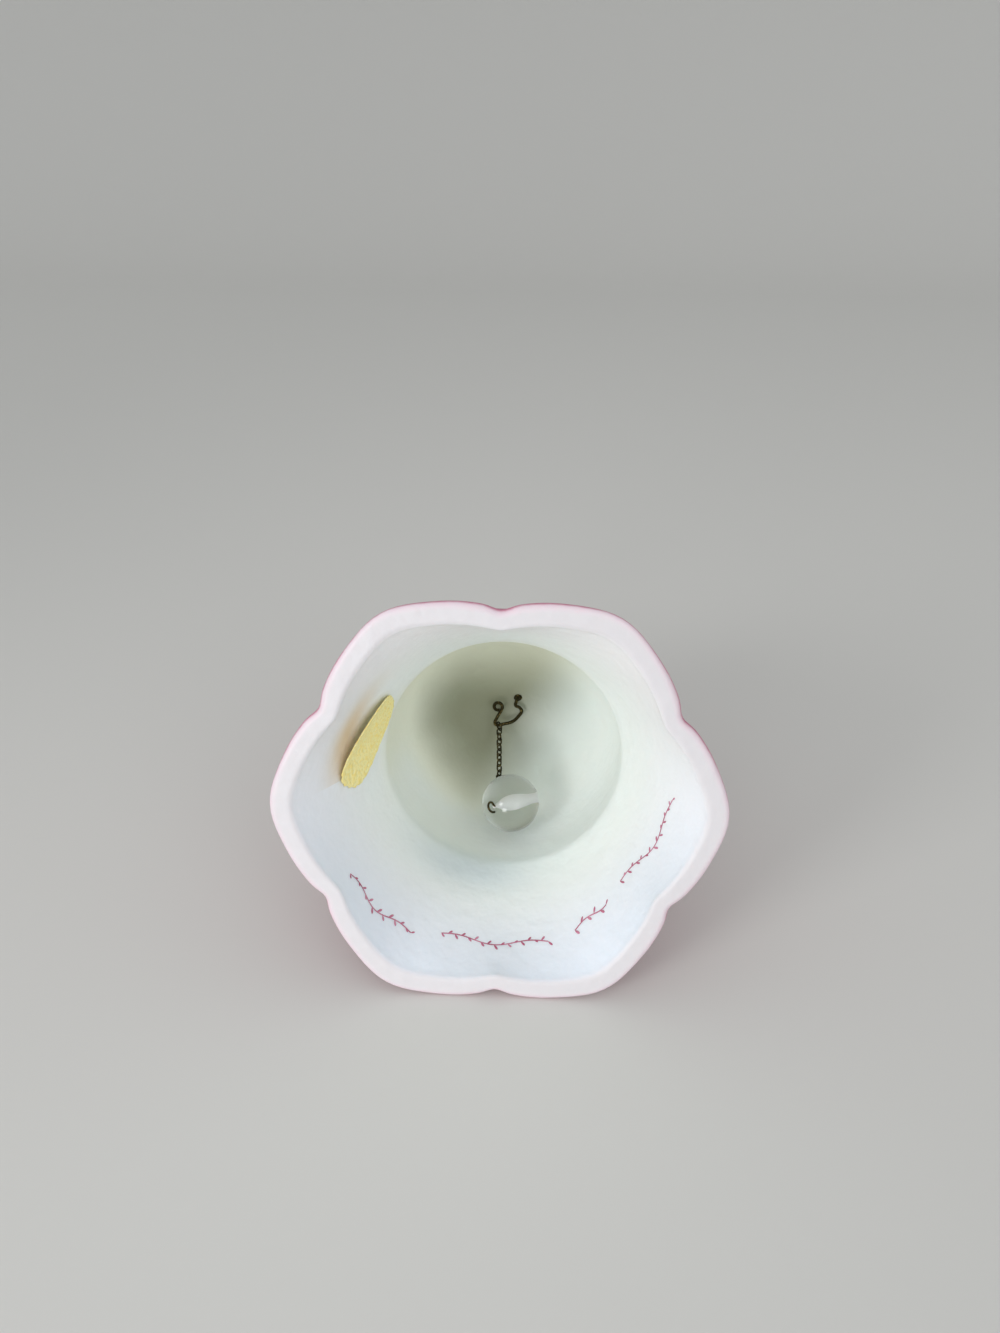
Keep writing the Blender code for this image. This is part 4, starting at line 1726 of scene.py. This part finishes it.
@dataclass(frozen=True)
class FoilLabel:
    """Oval foil with a pressed rim, a ring of dots and a pressed ground."""

    form: BellForm
    sizes: LabelForm = LabelForm()
    columns: int = 192
    face_rows: int = 48
    back_rows: int = 11
    bands: tuple[PressedBand, ...] = (
        PressedBand(0.95, 0.03, 1.0, 0.0),
        PressedBand(0.84, 0.035, 0.8, 44.0),
        PressedBand(0.42, 0.2, 0.7, 9.0),
    )
    ragged: tuple[Place, ...] = ((0.012, 23.0, 0.0), (0.007, 41.0, 1.0))
    ground_scale: float = 0.75
    merge: float = 0.003

    def _outline(self, angle: Term, squareness: Number) -> Any:
        """How far the ragged outline stands past an oval, fuller at its corners.

        Args:
            angle: The way from the label's middle.
            squareness: 2 for an oval, more for fuller corners.

        Returns:
            The share of the oval's reach.
        """
        uneven = 1.0
        for size, waves, start in self.ragged:
            uneven = uneven + size * Maths.SINE(waves * angle + start)
        sides = [Maths.POWER(Maths.ABSOLUTE(s), squareness) for s in on_circle(1.0, angle)]
        return uneven * Maths.POWER(sides[0] + sides[1], -1.0 / squareness)

    def _relief(
        self, tree: ShapeTree, label: LabelForm, angle: Term, out: Term, flat: Socket
    ) -> Any:
        """Height of the pressed pattern over the sheet.

        Args:
            tree: The label's tree.
            label: The label's sizes, as inputs of the tree.
            angle: The way from the label's middle.
            out: The share of the way out to its edge.
            flat: The place on the flat label.

        Returns:
            The height.
        """
        high = 0.0
        for band in self.bands:
            beads = Maths.MAXIMUM(0.0, Maths.COSINE(band.beads * angle))
            high = high + band.height * beads * bell_curve((out - band.out) / band.breadth)
        ground = tree.noise(flat, self.ground_scale, 3.0) - 0.5
        return label.band_relief * high + label.ground_relief * ground

    @staticmethod
    def _wrapped(form: BellForm, label: LabelForm, flat: Sequence[Any]) -> Sequence[Any]:
        """Where the flat label lies on the wall, its middle and its mouth side lifted.

        Args:
            form: The bell's form, as inputs of the tree.
            label: The label's sizes, as inputs of the tree.
            flat: The place along, across and over the flat label.

        Returns:
            The place in the bell's frame.
        """
        along, across, high = flat
        fall = form.inner_radius(label.depth) - form.inner_radius(label.depth + 1.0)
        cos_turn, sin_turn = on_circle(1.0, label.turn)
        round_wall = along * cos_turn - across * sin_turn
        inwards = along * sin_turn + across * cos_turn
        depth = label.depth + inwards / Maths.SQRT(1.0 + fall * fall)
        angle = label.angle + round_wall / form.inner_radius(label.depth)
        low = Maths.MAXIMUM(0.0, -2.0 * across / label.width)
        off_middle = clamped(Maths.ABSOLUTE(2.0 * along / label.length))
        lift = label.gap + low * low * label.edge_lift + high
        lift = lift + label.middle_lift * (1.0 - off_middle * off_middle)
        return form.inside_wall(angle, depth, lift)

    def build(self, place: BellFrame) -> None:
        """Builds the piece in the bell's frame.

        Args:
            place: The bell's frame.
        """
        tree = ShapeTree("gold_label")
        form, label = tree.sized(self.form), tree.sized(self.sizes)
        steps = self.face_rows + 1 + self.back_rows
        grid, around, along = tree.grid(self.columns + 1, steps + 1)
        face = clamped(along * (steps / self.face_rows))
        out = face * clamped((1.0 - along) * steps / self.back_rows)
        angle = around * TURN
        edge = self._outline(angle, label.squareness)
        flat_x = label.length / 2.0 * out * edge * Maths.COSINE(angle)
        flat_y = label.width / 2.0 * out * edge * Maths.SINE(angle)
        flat = tree.joined(flat_x, flat_y, 0.0)
        kept = tree.stored(grid, "flat_place", flat, "FLOAT_VECTOR")
        top = Maths.GREATER_THAN((self.face_rows + 0.5) / steps, along)
        high = top * (label.thickness + self._relief(tree, label, angle, out, flat))
        bent = tree.placed(kept, *self._wrapped(form, label, (flat_x, flat_y, high)))
        tree.close(tree.merged([bent], self.merge), EmbossedFoil().make())
        mesh = tree.mesh("gold_label")
        add_piece("gold_label", mesh, place.scaled, "bell", ["foil_label"])


@dataclass(frozen=True)
class Sprig:
    """Place and sizes of one painted sprig, with its angles in degrees."""

    start: float
    sweep: float
    depth_start: float
    depth_end: float
    wave: float = 0.9
    waves: float = 1.5
    stem: float = 0.34
    leaf_length: float = 1.5
    leaf_width: float = 0.55
    leaf_taper: float = 0.35
    leaf_point: float = 0.25
    gap: float = 0.02
    paint: float = 0.07


@dataclass(frozen=True)
class PaintedSprigs:
    """Fine rose sprigs of stems and leaves painted round the lower skirt."""

    form: BellForm
    leaf_step: float = 1.7
    leaf_turn: Pair = (0.55, 0.5)
    leaf_stretch: Pair = (0.75, 0.5)
    leaf_spread: Pair = (0.8, 0.4)
    stem_knots: int = 72
    stem_sides: int = 8
    leaf_segments: int = 10
    leaf_rings: int = 12
    sprigs: tuple[Sprig, ...] = (
        Sprig(150.0, -30.0, 8.0, 9.5),
        Sprig(110.0, -38.0, 12.5, 11.5),
        Sprig(62.0, -14.0, 12.5, 15.0, waves=0.8),
        Sprig(39.0, -38.0, 16.5, 12.5),
    )

    def _stem(self, tree: ShapeTree, sprig: Sprig, length: float) -> Socket:
        """Knots of the wavy stem on the flat, from 0 to its length.

        Args:
            tree: The sprig's tree.
            sprig: The sprig's sizes, as inputs of the tree.
            length: The stem's length.

        Returns:
            The knots, with edges between them.
        """
        line = tree.out("GeometryNodeMeshLine", sockets={"Count": self.stem_knots})
        share = tree.index() / (self.stem_knots - 1.0)
        across = sprig.wave * Maths.SINE(share * sprig.waves * TURN)
        return tree.placed(line, share * length, across, 0.0)

    def _leaf(self, tree: ShapeTree, sprig: Sprig) -> Socket:
        """One flat leaf that grows along X from the origin.

        Args:
            tree: The sprig's tree.
            sprig: The sprig's sizes, as inputs of the tree.

        Returns:
            The leaf.
        """
        ball = tree.ball(self.leaf_segments, self.leaf_rings)
        x, y, z = tree.split(tree.where())
        broad = 0.5 * sprig.leaf_width * (1.0 + sprig.leaf_taper * z)
        across = y * broad * (1.0 - sprig.leaf_point * z * z)
        return tree.placed(ball, 0.5 * sprig.leaf_length * (z + 1.0), across, x * 0.5)

    def _leaves(
        self, tree: ShapeTree, sprig: Sprig, stem: Socket, count: int, seed: int
    ) -> Socket:
        """Leaves that leave the stem on alternate sides.

        Args:
            tree: The sprig's tree.
            sprig: The sprig's sizes, as inputs of the tree.
            stem: The stem's knots.
            count: The number of leaves.
            seed: The seed of their turns and sizes.

        Returns:
            The leaves.
        """
        curve = tree.out("GeometryNodeMeshToCurve", sockets={"Mesh": stem})
        sockets = {"Curve": curve, "Count": count}
        points = tree.out("GeometryNodeCurveToPoints", sockets=sockets)
        side = 2.0 * Maths.FLOORED_MODULO(tree.index(), 2.0) - 1.0
        chance = tree.node("FunctionNodeRandomValue", sockets={"Seed": seed})
        share = Term(tree, chance.outputs[1])
        turn, stretch, spread = (
            least + more * share
            for least, more in (self.leaf_turn, self.leaf_stretch, self.leaf_spread)
        )
        sockets = {
            "Points": points,
            "Instance": self._leaf(tree, sprig),
            "Rotation": tree.joined(0.0, 0.0, side * turn),
            "Scale": tree.joined(stretch, spread, 1.0),
        }
        placed = tree.out("GeometryNodeInstanceOnPoints", sockets=sockets)
        return tree.out("GeometryNodeRealizeInstances", sockets={0: placed})

    def build(self, place: BellFrame) -> None:
        """Builds each sprig flat and bends it to the wall.

        Args:
            place: The bell's frame.
        """
        finish = RoseEnamel().make()
        for number, plain in enumerate(self.sprigs, 1):
            tree = ShapeTree("painted_sprig")
            form, sprig = tree.sized(self.form), tree.sized(plain)
            mean = (plain.depth_start + plain.depth_end) / 2.0
            length = math.radians(abs(plain.sweep)) * self.form.inner_radius(mean)
            stem = self._stem(tree, sprig, length)
            count = max(2, round(length / self.leaf_step))
            parts = [tree.wire(stem, sprig.stem, False, self.stem_sides)]
            parts.append(self._leaves(tree, sprig, stem, count, number))
            x, y, z = tree.split(tree.where())
            share = x / length
            angle = (sprig.start + sprig.sweep * share) * (math.pi / 180.0)
            depth = sprig.depth_start + (sprig.depth_end - sprig.depth_start) * share + y
            lift = sprig.gap + sprig.paint * (1.0 + z)
            bent = tree.placed(tree.gathered(parts), *form.inside_wall(angle, depth, lift))
            tree.close(bent, finish)
            name = f"painted_sprig_{number}"
            add_piece(name, tree.mesh(name), place.scaled, "bell")


# Studio


@dataclass(frozen=True)
class Lamp:
    """A soft square lamp that faces the bell, with its light kept off the near floor."""

    name: str
    place: Place
    size: float
    power: float
    aim: Place = (0.0, -0.04, 0.04)
    spread: float = math.radians(50.0)

    def build(self) -> None:
        """Adds the lamp to the scene."""
        data = bpy.data.lights.new(self.name, "AREA")
        data.energy = self.power
        data.shape = "SQUARE"
        data.size = self.size
        data.spread = self.spread
        lamp = linked(self.name, data)
        lamp.location = self.place
        towards = Vector(self.aim) - Vector(self.place)
        lamp.rotation_euler = towards.to_track_quat("-Z", "Y").to_euler()


@dataclass(frozen=True)
class Studio:
    """Pale floor with a swept backdrop, soft lights and the camera."""

    lamps: tuple[Lamp, ...] = (
        Lamp("key_light", (-0.65, -0.7, 0.4), 0.35, 0.28),
        Lamp("low_light", (-0.3, -0.8, 0.1), 0.25, 0.125),
        Lamp("fill_light", (0.5, -0.8, 0.45), 0.6, 0.135),
    )
    sky: Colour = (0.96, 0.98, 1.0)
    sky_strength: float = 0.66
    camera_place: Place = (0.00714, -0.26483, 0.20679)
    camera_turn: Place = (59.201, -0.371, 2.275)
    lens: float = 36.0
    sensor: float = 36.0
    nearest: float = 0.005
    half_width: float = 2.0
    front: float = -1.6
    bend_start: float = 0.9
    bend_radius: float = 0.5
    bend_steps: int = 12
    height: float = 2.2

    def _profile(self) -> list[Pair]:
        """The floor's line from its front to the top of the backdrop.

        Returns:
            Places along Y and Z.
        """
        line = [(self.front, 0.0), (self.bend_start, 0.0)]
        for step in range(1, self.bend_steps + 1):
            low, out = on_circle(self.bend_radius, QUARTER * step / self.bend_steps)
            line.append((self.bend_start + out, self.bend_radius - low))
        line.append((self.bend_start + self.bend_radius, self.height))
        return line

    def _sweep(self) -> bpy.types.Object:
        """The floor, bent up behind into the backdrop.

        Returns:
            The floor's object.
        """
        shape = bmesh.new()
        rows = [
            [shape.verts.new((side * self.half_width, y, z)) for side in (-1, 1)]
            for y, z in self._profile()
        ]
        for low, high in zip(rows, rows[1:]):
            shape.faces.new((low[0], low[1], high[1], high[0]))
        mesh = bpy.data.meshes.new("floor")
        shape.to_mesh(mesh)
        shape.free()
        mesh.shade_smooth()
        mesh.materials.append(PaleFloor().make())
        return linked("floor", mesh)

    def _light(self) -> None:
        """Adds the lamps, and even pale light from all sides."""
        for lamp in self.lamps:
            lamp.build()
        world = bpy.data.worlds.new("studio")
        world.use_nodes = True
        bpy.context.scene.world = world
        sky = world.node_tree.nodes["Background"]
        sky.inputs[0].default_value = (*self.sky, 1.0)
        sky.inputs[1].default_value = self.sky_strength

    def build(self) -> None:
        """Builds the floor, the lights and the camera."""
        self._sweep()
        self._light()
        data = bpy.data.cameras.new("camera")
        data.lens = self.lens
        data.sensor_width = self.sensor
        data.sensor_fit = "HORIZONTAL"
        data.clip_start = self.nearest
        camera = linked("camera", data)
        camera.location = self.camera_place
        camera.rotation_euler = [math.radians(turn) for turn in self.camera_turn]
        bpy.context.scene.camera = camera
        bpy.context.scene.view_settings.view_transform = "Standard"


def main() -> None:
    """Builds the pieces in order."""
    logging.basicConfig(level=logging.INFO, format="%(name)s: %(message)s")
    place = BellFrame()
    pivots = Pivots()
    form = BellForm()
    GlassBell(form).build(place)
    WireHook(form).build(place)
    Chain().build(pivots)
    BeadPin().build(place, pivots)
    Bead().build(pivots)
    FoilLabel(form).build(place)
    PaintedSprigs(form).build(place)
    Studio().build()


if __name__ == "__main__":
    main()
